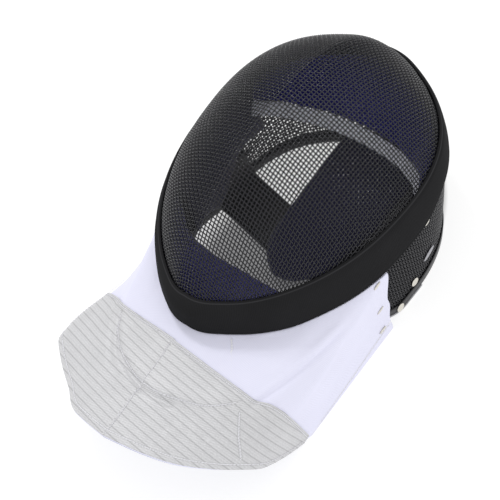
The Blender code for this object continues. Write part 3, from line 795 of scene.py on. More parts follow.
# Folds of the bib: lines across and down it, how far they stand out or press in, and how wide
FOLDS = (
    {"line": ((-0.34, 0.43), (-0.21, 0.50), (-0.13, 0.52), (-0.06, 0.545), (0.06, 0.575), (0.16, 0.615)),
     "rise": -2.4, "width": 2.6},
    {"line": ((-0.40, 0.46), (-0.33, 0.52), (-0.24, 0.57), (-0.14, 0.60)), "rise": -0.9, "width": 4.0},
    {"line": ((0.04, 0.60), (0.12, 0.67), (0.22, 0.78)), "rise": -1.0, "width": 3.4},
    {"line": ((0.14, 0.585), (0.24, 0.65), (0.34, 0.72), (0.42, 0.82)), "rise": -0.8, "width": 2.6},
    {"line": ((-0.30, 0.42), (-0.19, 0.455), (-0.10, 0.475), (0.0, 0.49), (0.11, 0.52), (0.27, 0.55),
              (0.40, 0.54)), "rise": 1.0, "width": 5.5},
    {"line": ((-0.16, 0.56), (0.06, 0.63), (0.16, 0.68), (0.26, 0.75)), "rise": 0.8, "width": 6.0},
    {"line": ((0.655, 0.30), (0.64, 0.326), (0.583, 0.445), (0.530, 0.555), (0.50, 0.60)), "rise": -1.6,
     "width": 5.5},
    {"line": ((0.60, 0.25), (0.54, 0.40), (0.49, 0.50)), "rise": 1.2, "width": 7.0},
    {"line": ((0.72, 0.38), (0.66, 0.50), (0.60, 0.66)), "rise": -0.8, "width": 9.0},
    {"line": ((0.34, 0.05), (0.42, 0.22), (0.47, 0.36)), "rise": -0.6, "width": 9.0},
    {"line": ((0.16, 0.06), (0.20, 0.20)), "rise": -0.5, "width": 7.0},
    {"line": ((0.78, 0.16), (0.72, 0.36), (0.70, 0.60)), "rise": 0.8, "width": 10.0},
    {"line": ((-0.30, 0.10), (-0.40, 0.30)), "rise": 0.7, "width": 9.0},
    {"line": ((-0.52, 0.12), (-0.56, 0.40)), "rise": -0.8, "width": 8.0},
    {"line": ((0.30, 0.80), (0.42, 0.90)), "rise": 0.5, "width": 8.0},
    {"line": ((-0.20, 0.70), (-0.14, 0.90)), "rise": 0.5, "width": 9.0},
)
FOLD_SCALE = np.array([200.0, 100.0]) * MM      # lengths that stand for 1 across and 1 down
SIDE_SCALE = 150.0 * MM     # the same across, beside the bib's rear edges
SCALLOP = 0.017             # how far the upper edge rises between two staples, as a share of the fall
PANEL_END = (0.95, 0.997)   # how far across and down the bib the panel and the lining reach
HEM = 5.5 * MM
PANEL_SEAM = 2.2 * MM       # its way from the panel's upper edge

# Sewn lines on the bib, each (across, down) and in order; panel ones lie on the grey cloth
SEWN_LINES = (
    {"panel": True, "line": ((-0.345, 0.42), (-0.293, 0.480), (-0.195, 0.486), (-0.107, 0.504),
                             (-0.059, 0.522), (0.055, 0.536), (0.108, 0.553), (0.175, 0.567),
                             (0.268, 0.586), (0.327, 0.586), (0.381, 0.574), (0.413, 0.567))},
    {"panel": True, "line": ((-0.030, 0.185), (0.0, 0.40), (0.020, 0.60), (0.030, 0.80), (0.031, 0.985))},
    {"panel": True, "line": ((0.465, 0.64), (0.493, 0.70), (0.55, 0.82), (0.612, 0.938))},
    {"panel": False, "line": ((0.190, 0.045), (0.210, 0.099), (0.226, 0.145))},
    {"panel": True, "line": ((-0.655, 0.93), (-0.668, 0.82), (-0.683, 0.711), (-0.680, 0.62))},
)


def ways_to(across, down, line_points):
    """For each stretch of a line on the bib: the way off it, its direction and the way along it."""
    here = np.stack([across, down], -1) * FOLD_SCALE
    points = np.array(line_points) * FOLD_SCALE
    passed = 0.0
    for a, b in zip(points[:-1], points[1:]):
        size = np.linalg.norm(b - a)
        way = (b - a) / size
        along = np.clip((here - a) @ way, 0, size)
        yield here - (a + along[..., None] * way), way, along + passed
        passed += size


def near_line(across, down, line_points):
    """Distance to a line of points on the bib, in metres."""
    return np.min([np.linalg.norm(off, axis=-1) for off, *_ in ways_to(across, down, line_points)], axis=0)


def seam_map(across, down, line_points):
    """Signed way to a line on the bib and the way along it, in metres, for each place."""
    best = np.full((*across.shape, 2), 1.0)
    for off, way, along in ways_to(across, down, line_points):
        side = np.sign(off[..., 0] * way[1] - off[..., 1] * way[0])
        away = np.linalg.norm(off, axis=-1)
        nearer = away < np.abs(best[..., 0])
        best[nearer] = np.stack([away * side, along], -1)[nearer]
    return best


def side_seam(down):
    """How far across the bib the seams along its rear edges lie."""
    return 0.985 - 0.028 * (1 - down)


def bib_seams(across, down, on_panel):
    """Seam maps of one layer of the bib: the sewn lines, the hem and the panel's upper edge."""
    maps = [seam_map(across, down, row["line"]) for row in SEWN_LINES if row["panel"] == on_panel]
    way = across * FOLD_SCALE[0]
    fall = bib_length(across)
    if on_panel:
        maps.append(np.stack([(1 - down) * fall - HEM, way], -1))
        maps.append(np.stack([(down - panel_start(across)) * fall - PANEL_SEAM, way], -1))
    for side in (-1, 1):
        maps.append(np.stack([(side_seam(down) - side * across) * SIDE_SCALE, down * fall], -1))
    return np.array(maps)


def bib_fold(across, down):
    """How far the cloth stands off its even surface: the sum of rise·exp(-(d/width)²)."""
    raised = np.zeros(np.broadcast(across, down).shape)
    for fold in FOLDS:
        away = near_line(across, down, fold["line"])
        raised = raised + fold["rise"] * MM * np.exp(-(away / (fold["width"] * MM)) ** 2)
    return raised * np.clip(down / 0.06, 0, 1) * np.clip((1 - down) / 0.04, 0, 1)


def bib_layer(across, down, offset):
    """Bib surface moved by offset and by its folds, with its rear edges kept off the floor."""
    across, down = np.broadcast_arrays(np.asarray(across, float), np.asarray(down, float))
    points = bib_point(across, down) + bib_normal(across, down) * (offset + bib_fold(across, down))[..., None]
    points[..., 2] = np.maximum(points[..., 2], 0.0)
    return points


def panel_start(across):
    """Share of the way down the bib where the grey cloth begins."""
    top = bib_point(across, 0.0)[..., 1]
    low = bib_point(across, 1.0)[..., 1]
    edge = smooth_column(PANEL_EDGE, PANEL_COLUMNS.index("y"), across) * MM
    return np.clip((edge - top) / (low - top), 0.0, 0.97)


# ------------------------------------------------------------------ materials

def wire_material(colours):
    made = Graph("painted_wire", Metallic=0.2, Roughness=0.3, Coat_Weight=0.4,
                 Coat_Roughness=0.06, Specular_IOR_Level=0.3)
    speck = made.noise(900.0)
    made.feed("Base Color", made.mix(speck, tinted(colours.wire, 0.6), tinted(colours.wire, 1.7)))
    made.feed("Roughness", speck * 0.2 + 0.16)
    made.bump(speck, 0.25, 0.0002)
    return made.material


def cloth_material(name, base, pitch, rough=0.85, depth=0.12):
    """Plain woven cloth: a weave in the bump and the colour, with a slow mottling."""
    made = Graph(name, Roughness=rough, Sheen_Weight=0.25, Sheen_Roughness=0.5, Specular_IOR_Level=0.3)
    along, across = made.map_place("cloth")
    threads = weave(along, across, pitch)
    slow = made.noise(45.0)
    share = threads * 0.22 + slow * 0.48 + 0.26
    made.feed("Base Color", made.mix(share, tinted(base, 0.86), tinted(base, 1.08)))
    made.bump(threads, depth, 0.0004)
    return made.material


def sewn_lines(made, sizes):
    """Groove, which also carries painted shade, and thread of the nearest seam, from a map of the way to it
    and the way along it.
    """
    away, along = made.map_place("sewing")
    groove_and_shade = line(away, 0.0, 0.55 * MM)
    stitch = (along / sizes.stitch_pitch).fract()
    thread = line(away, 0.0, 0.3 * MM) * (stitch > 0.24)
    return groove_and_shade, thread


def bib_material(colours, sizes):
    """White cloth of the bib: a fine plain weave, slow changes of tone and its sewn lines, with painted shade
    in their grooves.
    """
    made = Graph("bib_cloth", Roughness=0.9, Sheen_Weight=0.05, Sheen_Roughness=0.5, Specular_IOR_Level=0.3)
    along, across = made.map_place("cloth")
    threads = weave(along, across, 0.8 * MM)
    slow = made.noise(28.0)
    groove_and_shade, thread = sewn_lines(made, sizes)
    base = made.mix(threads * 0.22 + slow * 0.5 + 0.25, tinted(colours.bib, 0.93), tinted(colours.bib, 1.06))
    # painted shade in the seams' grooves
    base = made.mix(groove_and_shade * 0.22, base, tinted(colours.bib, 0.55))
    made.feed("Base Color", made.mix(thread * 0.8, base, (0.93, 0.93, 0.95)))
    made.bump(threads * 0.4 - groove_and_shade * 2.0 + thread, 0.2, 0.0004)
    return made.material


def trim_material(colours):
    """Ribbed elastic: ribs across the band, a faint stitched line near its rear edge."""
    made = Graph("ribbed_trim", Roughness=0.95, Specular_IOR_Level=0.06)
    along, across = made.map_place("cloth")
    ribs = wave(along, 1.3 * MM)
    slow = made.noise(30.0)
    edge = line(across, 1.9 * MM, 0.3 * MM)
    share = ribs * 0.45 + slow * 0.6
    cloth = made.mix(share, tinted(colours.trim, 0.7), tinted(colours.trim, 1.4))
    made.feed("Base Color", made.mix(edge * 0.8, cloth, tinted(colours.trim, 2.6)))
    made.bump(ribs + slow * 0.4 + edge, 0.3, 0.0003)
    return made.material


def panel_material(colours, sizes):
    """Metallic cloth: fine twill, with dark threads across it.

    A thread lies where the length down the panel, less its shift, is a whole number of pitches.
    """
    made = Graph("conductive_cloth", Roughness=0.6, Metallic=0.2, Sheen_Weight=0.1, Sheen_Roughness=0.4)
    along, across = made.map_place("cloth")
    right = along < 0.0
    lines = across - THREAD_SHIFT - right * THREAD_STEP
    offset = (lines / sizes.stripe_pitch + 0.5).fract() - 0.5
    dark = (1.4 - abs(offset) * (sizes.stripe_pitch / (0.5 * MM))).held()
    ribs = wave(lines, sizes.stripe_pitch / 3)
    groove_and_shade, thread = sewn_lines(made, sizes)
    seam = groove_and_shade * 0.8
    twill = wave(across * 0.8 + along * 0.9, 1.5 * MM)
    slow = made.noise(60.0)
    grain = made.noise(900.0, 2.0)
    share = twill * 0.3 + slow * 0.2 + grain * 0.5 + ribs * 0.12 - 0.06
    base = made.mix(share, tinted(colours.panel, 0.66), tinted(colours.panel, 1.3))
    # dark threads, and painted shade in the seams' grooves
    base = made.mix((dark * 0.34).max(seam * 0.34), base, tinted(colours.panel, 0.3))
    made.feed("Base Color", made.mix(thread * 0.7, base, colours.thread))
    made.feed("Roughness", 0.66 - twill * 0.16)
    made.bump(twill * 0.5 + grain * 0.6 - dark - seam * 2.0 + thread, 0.3, 0.0004)
    return made.material


def floor_material(glow):
    """Pale floor that glows softly, but not under the mask, where its glow is cut to paint the shade.

    Painted light on that shaded floor fades from the far side inwards: soon after the rim in the neck
    opening, and only beside the tongue in the window over the strap.
    """
    made = Graph("pale_floor", Base_Color=(0.32, 0.32, 0.32, 1), Roughness=0.9, Emission_Strength=1.0)
    x, y = made.split(made.object_place())
    # painted light under the mask, brighter towards the far side
    upper = ramp(y, -20 * MM, 30 * MM)
    near_edge = ramp(x, -90 * MM, 14 * MM)
    inwards = ramp(x, -76 * MM, 60 * MM)
    by_tongue = ramp(x, -30 * MM, 25 * MM)
    painted_neck_light = PAINTED_WINDOW_LIGHT - near_edge * 0.34 - inwards * 0.10
    light = painted_neck_light * (1.0 - upper) + (PAINTED_WINDOW_LIGHT - by_tongue * PAINTED_WINDOW_LIGHT) * upper
    # painted shade: inside this ellipse round the mask's footprint the glow gives way to the painted light
    wide = (x + 16 * MM) / (108 * MM)
    tall = (y - 8 * MM) / (134 * MM)
    inside = ((1.0 - wide * wide - tall * tall) * 7.0).held()
    painted_light_colour = made.mix(light, (0.0, 0.0, 0.0), (1.0, 1.0, 1.0))
    made.feed("Emission Color", made.mix(inside, (glow, glow, glow), painted_light_colour))
    return made.material


def metal_material(name, base, rough):
    made = Graph(name, Metallic=1.0, Roughness=rough)
    brushed = made.noise(700.0, 4.0, 0.7)
    made.feed("Base Color", made.mix(brushed, tinted(base, 0.78), tinted(base, 1.15)))
    made.feed("Roughness", brushed * 0.3 + (rough - 0.12))
    made.bump(brushed, 0.15, 0.0002)
    return made.material


def web_material(colours):
    made = Graph("strap_web", Roughness=0.7, Sheen_Weight=0.3, Sheen_Roughness=0.5)
    along, across = made.map_place("cloth")
    bars = wave(across, 2.0 * MM)
    rows = wave(along, 1.2 * MM)
    made.feed("Base Color", made.mix(bars * rows, tinted(colours.strap, 0.7), tinted(colours.strap, 2.2)))
    made.bump(bars * 0.6 + rows * 0.4, 0.4, 0.0004)
    return made.material


# ------------------------------------------------------------------ operators

def weave_mesh(names, node, grid, thick, colours):
    """The two families of a woven mesh: wires along its grid's rows, and along its columns."""
    material = bpy.data.materials.get("painted_wire") or wire_material(colours)
    for name, along_rows in zip(names, (True, False)):
        wires = tubes(name, woven(*grid, thick / 2, along_rows), thick / 2, material)
        finish_piece(wires, "black_wire_mesh", node)


class MASK_OT_front_wires(bpy.types.Operator):
    """Weaves the two families of wires of the front mesh"""

    bl_idname = "mask.front_wires"
    bl_label = "Front wires"

    def execute(self, context):
        sizes = context.scene.mask_sizes
        weave_mesh(("front_wires_across", "front_wires_along"), "front_mesh", front_grid(sizes.wire_pitch),
                   sizes.wire_thick, context.scene.mask_colours)
        return {"FINISHED"}


class MASK_OT_side_wires(bpy.types.Operator):
    """Weaves the rings and uprights of the side mesh"""

    bl_idname = "mask.side_wires"
    bl_label = "Side wires"

    def execute(self, context):
        sizes = context.scene.mask_sizes
        weave_mesh(("side_wires_rings", "side_wires_uprights"), "side_mesh", side_grid(sizes.side_pitch),
                   sizes.side_thick, context.scene.mask_colours)
        return {"FINISHED"}


def round_corners(profile, passes=2):
    """Cuts each corner of a closed profile: new points lie a quarter in from both ends of a side."""
    for _ in range(passes):
        ahead = np.roll(profile, -1, 0)
        cut = np.stack([0.75 * profile + 0.25 * ahead, 0.25 * profile + 0.75 * ahead], axis=1)
        profile = cut.reshape(-1, *profile.shape[1:])
    return profile


class MASK_OT_trim(bpy.types.Operator):
    """Wraps the cloth band round the joint of the two meshes"""

    bl_idname = "mask.trim"
    bl_label = "Trim band"

    def execute(self, context):
        angle = np.linspace(0, 2 * np.pi, 420, endpoint=False)
        front = trim_edge(angle, "front")
        rear = trim_edge(angle, "rear")
        flare = trim_edge(angle, "rear_out") - TRIM_THICK - TRIM_GAP
        shoulder = (front - SHOULDER) / (front - rear)
        profile = []
        for share, thick in (*TRIM_PROFILE, (shoulder, 0.0), (0.06, 0.0), (0.0, 0.0)):
            forward = front + (rear - front) * share
            offset = TRIM_GAP + TRIM_THICK * thick + flare * share
            profile.append(place(mesh_radius(angle, forward) + offset, angle, forward))
        band = closed_ring("trim_band", np.array(profile), trim_material(context.scene.mask_colours))
        finish_piece(band, "black_trim_cloth", "mesh_trim")
        return {"FINISHED"}


class MASK_OT_rim(bpy.types.Operator):
    """Folds the binding over the side mesh's rear edge"""

    bl_idname = "mask.rim"
    bl_label = "Rear rim"

    def execute(self, context):
        angle = np.linspace(0, 2 * np.pi, 360, endpoint=False)
        base = rim_forward(angle)
        outside = GAP + RIM_SKIN
        inside = MESH_WALL + GAP + RIM_SKIN
        section = (
            (outside, RIM_HEIGHT), (outside, RIM_HEIGHT / 2), (outside, 0.0), (-inside, 0.0),
            (-inside, RIM_HEIGHT / 2), (-inside, RIM_HEIGHT), (RIM_SKIN - inside, RIM_HEIGHT),
            (RIM_SKIN - inside, RIM_SKIN), (GAP, RIM_SKIN), (GAP, RIM_HEIGHT),
        )
        profile = [place(side_radius(angle, base + rise) + offset, angle, base + rise)
                   for offset, rise in section]
        material = cloth_material("rim_binding", RIM_COLOUR, 0.9 * MM, 0.55, 0.2)
        rim = closed_ring("rear_binding", round_corners(np.array(profile)), material)
        finish_piece(rim, "black_binding", "rear_rim")

        paths = []
        for first, last in PIPING:
            angle = np.radians(np.linspace(first, last, 60))
            height = rim_forward(angle) + PIPING_RADIUS + GAP
            points = place(side_radius(angle, height) + outside + PIPING_RADIUS / 2, angle, height)
            outwards = np.stack([np.cos(angle), np.sin(angle), 0 * angle], -1)
            paths.append((points, outwards, False))
        pale = cloth_material("piping_cloth", PIPING_COLOUR, 0.7 * MM, 0.7, 0.2)
        piping = tubes("rim_piping", paths, PIPING_RADIUS, pale, 8)
        finish_piece(piping, "pale_binding")
        return {"FINISHED"}


def lay_sheet(middle):
    """Measures a sheet by its grid's longest row and column and its quads' diagonal cross products, and
    returns nothing.

    The area is the sum of half |diagonal × diagonal| over the grid's quads.
    """
    width = float(running_length(middle, 1)[:, -1].max())
    fall = float(running_length(middle, 0)[-1].max())
    cross = np.cross(middle[1:, 1:] - middle[:-1, :-1], middle[1:, :-1] - middle[:-1, 1:])


def bib_scallop(across):
    """Share by which the bib's upper edge rises between its staples, as sin² of the way."""
    ends = np.array([row["along"] for row in STAPLES] + [1.04])
    beyond = np.abs(across)
    cell = np.clip(np.searchsorted(ends, beyond, side="right") - 1, 0, len(ends) - 2)
    way = np.clip((beyond - ends[cell]) / (ends[cell + 1] - ends[cell]), 0, 1)
    return np.where(beyond > ends[0], SCALLOP * np.sin(np.pi * way) ** 2, 0.0)


def panel_grid(columns, rows):
    """Places of a grid over the grey cloth: across the bib, and down it from the panel's start."""
    across = PANEL_END[0] * (2 * edged_steps(columns, 0.40, 0.5 * MM) - 1)
    share = edged_steps(rows, 0.08, 0.5 * MM)
    across, share = np.broadcast_arrays(across[None, :], share[:, None])
    start = panel_start(across)
    return across, start + (PANEL_END[1] - start) * share


class MASK_OT_bib(bpy.types.Operator):
    """Lays out the bib: its white cloth, its grey panel and its lining"""

    bl_idname = "mask.bib"
    bl_label = "Bib"

    def execute(self, context):
        colours = context.scene.mask_colours
        sizes = context.scene.mask_sizes
        half = BIB_WALL / 2
        across = 2 * edged_steps(212, 0.42, half) - 1
        down = edged_steps(96, 0.10, half)
        across, down = np.broadcast_arrays(across[None, :], down[:, None])
        down = down - bib_scallop(across) * (1 - down)
        middle = bib_layer(across, down, 0.0)
        white = cloth_shell("bib_cloth", middle, half, bib_material(colours, sizes), round_over=half,
                            seams=bib_seams(across, down, False))
        finish_piece(white, "white_bib_cloth", "bib")
        lay_sheet(middle)

        across, down = panel_grid(212, 96)
        middle = bib_layer(across, down, half + GAP + PANEL_WALL / 2)
        over = running_length(middle, 1)
        over = over - over[:, len(over[0]) // 2][:, None]
        first = bib_point(0.0, panel_start(0.0))
        from_first = first - bib_point(across, down)
        across_threads = np.where(across[..., None] < 0, THREAD_NORMALS[0], THREAD_NORMALS[1])
        stripes = np.stack([over, (from_first * across_threads).sum(-1)], -1)
        in_hem = np.clip(1 + (HEM - (1 - down) * bib_length(across)) / (0.8 * MM), 0, 1)
        panel = cloth_shell("bib_panel_cloth", middle, PANEL_WALL / 2 * (0.8 + 0.5 * in_hem),
                            panel_material(colours, sizes), uv=stripes,
                            round_over=PANEL_WALL / 2, seams=bib_seams(across, down, True))
        finish_piece(panel, "grey_conductive_cloth", "bib_panel")
        lay_sheet(middle)

        middle = bib_layer(*panel_grid(120, 60), -half - GAP - LINING_WALL / 2)
        lining = cloth_shell("bib_lining_cloth", middle, LINING_WALL / 2,
                             cloth_material("lining_cloth", colours.lining, 1.0 * MM))
        finish_piece(lining, "navy_lining_cloth", "bib_lining")
        lay_sheet(middle)
        return {"FINISHED"}


def pad_span(name, first, last, edge, material, lap=0.0):
    """Padded cloth from the mesh's inner wall to a free edge; it swells as a sine between them."""
    angle = np.radians(first + (last - first) * edged_steps(70, 0.2, 4 * MM))
    wall = place(mesh_radius(angle, PAD_FORWARD, PAD_INSET), angle, PAD_FORWARD)
    x = edge[-1][0] * np.cos(angle) / np.abs(np.cos(angle[0]))
    y = smooth_column(edge, PAD_COLUMNS.index("y"), np.abs(x))
    forward = smooth_column(edge, PAD_COLUMNS.index("forward"), np.abs(x))
    free = np.stack([x, y, forward], axis=-1) * MM
    free[:, 2] += SECTION_Z
    share = edged_steps(30, 0.06, 4 * MM)[:, None, None]
    fall = free - wall
    middle = wall + (fall - unit(fall) * lap) * share
    puff = PAD_THICK * (0.35 + 0.65 * np.sin(np.pi * (0.12 + 0.76 * share)))
    normal = unit(np.cross(fall, np.array([1.0, 0.0, 0.0])))
    normal *= np.sign(normal[:, 2:3])
    pad = cloth_shell(name, middle, puff[..., 0] / 2, material, normals=np.broadcast_to(normal, middle.shape),
                      round_over=PAD_THICK * 0.3)
    return pad, free, unit(fall), normal


def swell(pads, cap):
    """Blows pads up together as cloth under pressure, and moves no point further than the cap."""
    scene = bpy.context.scene
    before = [np.empty(3 * len(pad.data.vertices), np.float32) for pad in pads]
    for pad, points in zip(pads, before):
        pad.data.vertices.foreach_get("co", points)
        settings = pad.modifiers.new("cloth", "CLOTH").settings
        settings.use_pressure = True
        settings.uniform_pressure_force = PAD_PRESSURE
        settings.effector_weights.gravity = 0.0
    for step in range(1, PAD_STEPS + 1):
        scene.frame_set(step)
    shaped = bpy.context.evaluated_depsgraph_get()
    for pad, points in zip(pads, before):
        after = np.empty_like(points)
        pad.evaluated_get(shaped).data.vertices.foreach_get("co", after)
        moved = (after - points).reshape(-1, 3)
        far = np.linalg.norm(moved, axis=1, keepdims=True)
        moved = np.nan_to_num(moved) * np.minimum(1, cap / np.maximum(np.nan_to_num(far), 1e-9))
        pad.modifiers.clear()
        pad.data.vertices.foreach_set("co", points + moved.ravel())
        pad.data.update()
    scene.frame_set(1)


def sewn_paths(across, down, offset, sizes):
    """Stitches along a line on the bib: each dips its ends into the cloth by 1 - (2t)² of its rise."""
    fine = np.linspace(0, len(across) - 1, 60 * len(across))
    at = np.arange(len(across))
    across = np.interp(fine, at, across)
    down = np.interp(fine, at, down)
    ground = bib_layer(across, down, offset)
    normals = bib_normal(across, down)
    way = running_length(ground, 0)
    t = np.array([-0.5, -0.3, 0.0, 0.3, 0.5])
    radius = sizes.stitch_thick / 2
    starts = np.arange(sizes.stitch_pitch / 2, way[-1] - sizes.stitch_pitch / 2, sizes.stitch_pitch)
    spots = starts[:, None] + t * sizes.stitch_pitch * 0.74
    points = np.stack([np.interp(spots, way, ground[:, k]) for k in range(3)], -1)
    up = unit(np.stack([np.interp(spots, way, normals[:, k]) for k in range(3)], -1))
    points = points + up * (radius * (1.1 - (2 * t) ** 2 * 1.5))[:, None]
    return [(line_points, line_up, False) for line_points, line_up in zip(points, up)]


class MASK_OT_sewing(bpy.types.Operator):
    """Sews the bib's seams, hems and the curved line over the hollow"""

    bl_idname = "mask.sewing"
    bl_label = "Sewing"

    def execute(self, context):
        sizes = context.scene.mask_sizes
        on_white = BIB_WALL / 2
        on_panel = on_white + GAP + PANEL_WALL
        paths = []
        for row in SEWN_LINES:
            across, down = np.array(row["line"]).T
            paths += sewn_paths(across, down, on_panel if row["panel"] else on_white, sizes)
        across = np.linspace(-0.93, 0.93, 120)
        paths += sewn_paths(across, 1 - HEM / bib_length(across), on_panel, sizes)
        across = np.linspace(-0.90, 0.90, 120)
        paths += sewn_paths(across, panel_start(across) + PANEL_SEAM / bib_length(across), on_panel, sizes)
        for side in (-1, 1):
            down = np.linspace(0.03, 0.86, 60)
            paths += sewn_paths(side * side_seam(down), down, on_white, sizes)
        thread = cloth_material("sewing_thread", context.scene.mask_colours.thread, 0.4 * MM, 0.8)
        sewing = tubes("bib_stitches", paths, sizes.stitch_thick / 2, thread, 4)
        finish_piece(sewing, "white_bib_cloth")
        return {"FINISHED"}


def pad_piece(pad, slot, node):
    """Finishes a padded piece and gives it back."""
    finish_piece(pad, slot, node)
    return pad


def cheek_pad(side, name, navy):
    """Pad along the inner wall, its rear edge cut back at both ends; side is 1 left, -1 right."""
    angle = np.radians(CHEEK_SPREAD * (2 * edged_steps(60, 0.11, 3 * MM) - 1))[None, :]
    share = edged_steps(40, 0.09, 3 * MM)[:, None]
    y = egg_radius(angle) * np.sin(angle)
    cut = np.clip((y + 15 * MM) / (42 * MM), 0, 1) + 0.6 * np.clip((-20 * MM - y) / (30 * MM), 0, 1)
    rear, front = CHEEK_FORWARD
    forward = front + (rear + CHEEK_CUT * cut - front) * share
    puff = CHEEK_THICK * np.sin(np.pi * (0.14 + 0.72 * share))
    wall = mesh_radius(angle, forward, MESH_WALL + PAD_GAP + STRAP_THICK + PAD_GAP)
    middle = place(wall - puff / 2, angle, forward)
    inwards = place(wall - puff, angle, forward) - middle
    middle[..., 0] *= side
    inwards[..., 0] *= side
    return cloth_shell(name, middle, puff / 2, navy, normals=unit(inwards), round_over=3 * MM)


def tongue_pad(navy):
    """Tongue from the crown's wall to a round tip, thickest along its middle."""
    rows = edged_steps(60, 0.15, 4 * MM)[:, None]
    columns = 2 * edged_steps(40, 0.08, 4 * MM)[None, :] - 1
    forward = TONGUE_BOTTOM - SECTION_Z
    top_y = crown_y(np.zeros(1), forward, RIM_INSET)[0]
    y = top_y + (TONGUE_LOW_Y - top_y) * rows
    rise = np.clip((y - TONGUE_LOW_Y) / (40 * MM), 0, 1)
    wide = np.minimum(TONGUE_HALF, 34 * MM + 0.12 * (y + 4 * MM))
    aside = -TONGUE_ASIDE * np.clip((40 * MM - y) / (80 * MM), 0, 1)
    x = columns * wide * np.sqrt(np.maximum(1 - (1 - rise) ** 2, 0.02)) + aside
    y = y - (top_y - crown_y(x, forward, RIM_INSET)) * (1 - rows)
    thin = (1 - 0.55 * np.abs(columns) ** 3) * (0.55 + 0.45 * np.sin(np.pi * (0.1 + 0.8 * rows)))
    thick = TONGUE_THICK * thin
    middle = np.stack([x, y, TONGUE_BOTTOM + thick / 2], axis=-1)
    up = np.broadcast_to(np.array([0.0, 0.0, 1.0]), middle.shape)
    return cloth_shell("tongue_cloth", middle, thick / 2, navy, normals=up, round_over=4 * MM)


class MASK_OT_pads(bpy.types.Operator):
    """Fills the forehead, chin and cheek pads and the tongue"""

    bl_idname = "mask.pads"
    bl_label = "Pads"

    def execute(self, context):
        colours = context.scene.mask_colours
        blue = cloth_material("blue_pad_cloth", colours.pad_blue, 1.1 * MM, 0.85, 0.2)
        navy = cloth_material("navy_pad_cloth", colours.pad_navy, 1.1 * MM, 0.85, 0.2)
        pale = cloth_material("pale_binding_cloth", colours.binding, 0.9 * MM, 0.75, 0.2)
        forehead, free, fall, normal = pad_span("forehead_pad_cloth", 36.0, 144.0, FOREHEAD_EDGE, blue,
                                                BAND_LAP)
        pads = [pad_piece(forehead, "blue_pad_cloth", "forehead_pad")]
        reach = GAP - BAND_LAP + BAND_SHOWN * edged_steps(8, BAND_SHOWN, BAND_THICK / 2)
        middle = free + fall * reach[:, None, None]
        band = cloth_shell("forehead_band_cloth", middle, BAND_THICK / 2, pale,
                           normals=np.broadcast_to(normal, middle.shape))
        finish_piece(band, "pale_binding", "forehead_band")
        lay_sheet(middle)
        chin = pad_span("chin_pad_cloth", 216.0, 324.0, CHIN_EDGE, blue)[0]
        pads.append(pad_piece(chin, "blue_pad_cloth", "chin_pad"))
        for side, name in ((1, "left"), (-1, "right")):
            cheek = cheek_pad(side, f"cheek_pad_cloth_{name}", navy)
            pads.append(pad_piece(cheek, "navy_pad_cloth", f"cheek_pad_{name}"))
        pads.append(pad_piece(tongue_pad(navy), "navy_pad_cloth", "rear_tongue"))
        swell(pads, PAD_SWELL)
        return {"FINISHED"}


class MASK_OT_strap(bpy.types.Operator):
    """Runs the wide strap across the rear opening and up the inner walls"""

    bl_idname = "mask.strap"
    bl_label = "Back strap"

    def execute(self, context):
        over = edged_steps(8, STRAP_WIDTH, STRAP_THICK / 2) - 0.5
        lines = []
        for share, rise in STRAP_LINE:
            z = rise * MM
            y = STRAP_TOP - STRAP_DROP * (1 - share) - over * STRAP_WIDTH
            wall_inset = RIM_INSET if z < RIM_HEIGHT + 3 * MM else MESH_WALL + PAD_GAP
            x = share * wall_x(y, z - SECTION_Z, wall_inset + STRAP_THICK / 2)
            lines.append(np.stack([x, y, np.full(len(over), z)], axis=-1))
        half = np.array(lines)
        coarse = np.concatenate([half[:0:-1] * np.array([-1.0, 1.0, 1.0]), half])
        rows = np.arange(len(coarse))
        fine = np.linspace(0, rows[-1], 120)
        columns = [np.interp(fine, rows, column) for column in coarse.reshape(len(coarse), -1).T]
        middle = np.stack(columns, -1).reshape(len(fine), len(over), 3)
        webbing = web_material(context.scene.mask_colours)
        strap = cloth_shell("strap_webbing", middle, STRAP_THICK / 2, webbing)
        finish_piece(strap, "black_strap_web", "back_strap")
        lay_sheet(middle)
        return {"FINISHED"}


def head_shape(name, point, normal, along, size, thick, material, mirror):
    """Domed head: rings shrink as cos t while they rise as sin t, on an oval."""
    across = np.cross(normal, along)
    turn = np.linspace(0, 2 * np.pi, 28, endpoint=False)
    t = np.linspace(0, np.pi / 2, 8)[:-1]
    grow = np.concatenate([[1.0], 1.0 - 0.12 * (1 - np.cos(t)) - 0.88 * np.sin(t) ** 3 * (1 - np.cos(t))])
    rise = np.concatenate([[0.0], thick * (0.35 + 0.65 * np.sin(t))])
    rim = along * size[0] * np.cos(turn)[:, None] + across * size[1] * np.sin(turn)[:, None]
    rings = point + grow[:, None, None] * rim + normal * rise[:, None, None]
    rows = len(grow)
    verts = np.concatenate([rings.reshape(-1, 3), [point], [point + normal * thick]])
    verts[:, 0] *= mirror
    i, j = grid_corners(rows, len(turn), False, True)
    quads = i * len(turn) + j % len(turn)
    here = np.arange(len(turn))
    after = (here + 1) % len(turn)
    bottom = np.stack([after, here, np.full(len(turn), rows * len(turn))], -1)[:, ::-1]
    last = (rows - 1) * len(turn)
    top = np.stack([last + here, last + after, np.full(len(turn), rows * len(turn) + 1)], -1)[:, ::-1]
    return new_object(name, verts, [quads, bottom, top], material)


def on_side(y, forward):
    """Point, outward normal and direction along the side mesh at a height y."""
    def at(dy, df):
        angle = wall_angle(y + dy, forward)
        return place(side_radius(angle, forward + df), angle, forward + df)

    along = unit(at(MM, 0) - at(-MM, 0))
    rear = unit(at(0, -MM) - at(0, MM))
    normal = unit(np.cross(rear, along))
    return at(0, 0), normal * np.sign(normal[0]), along


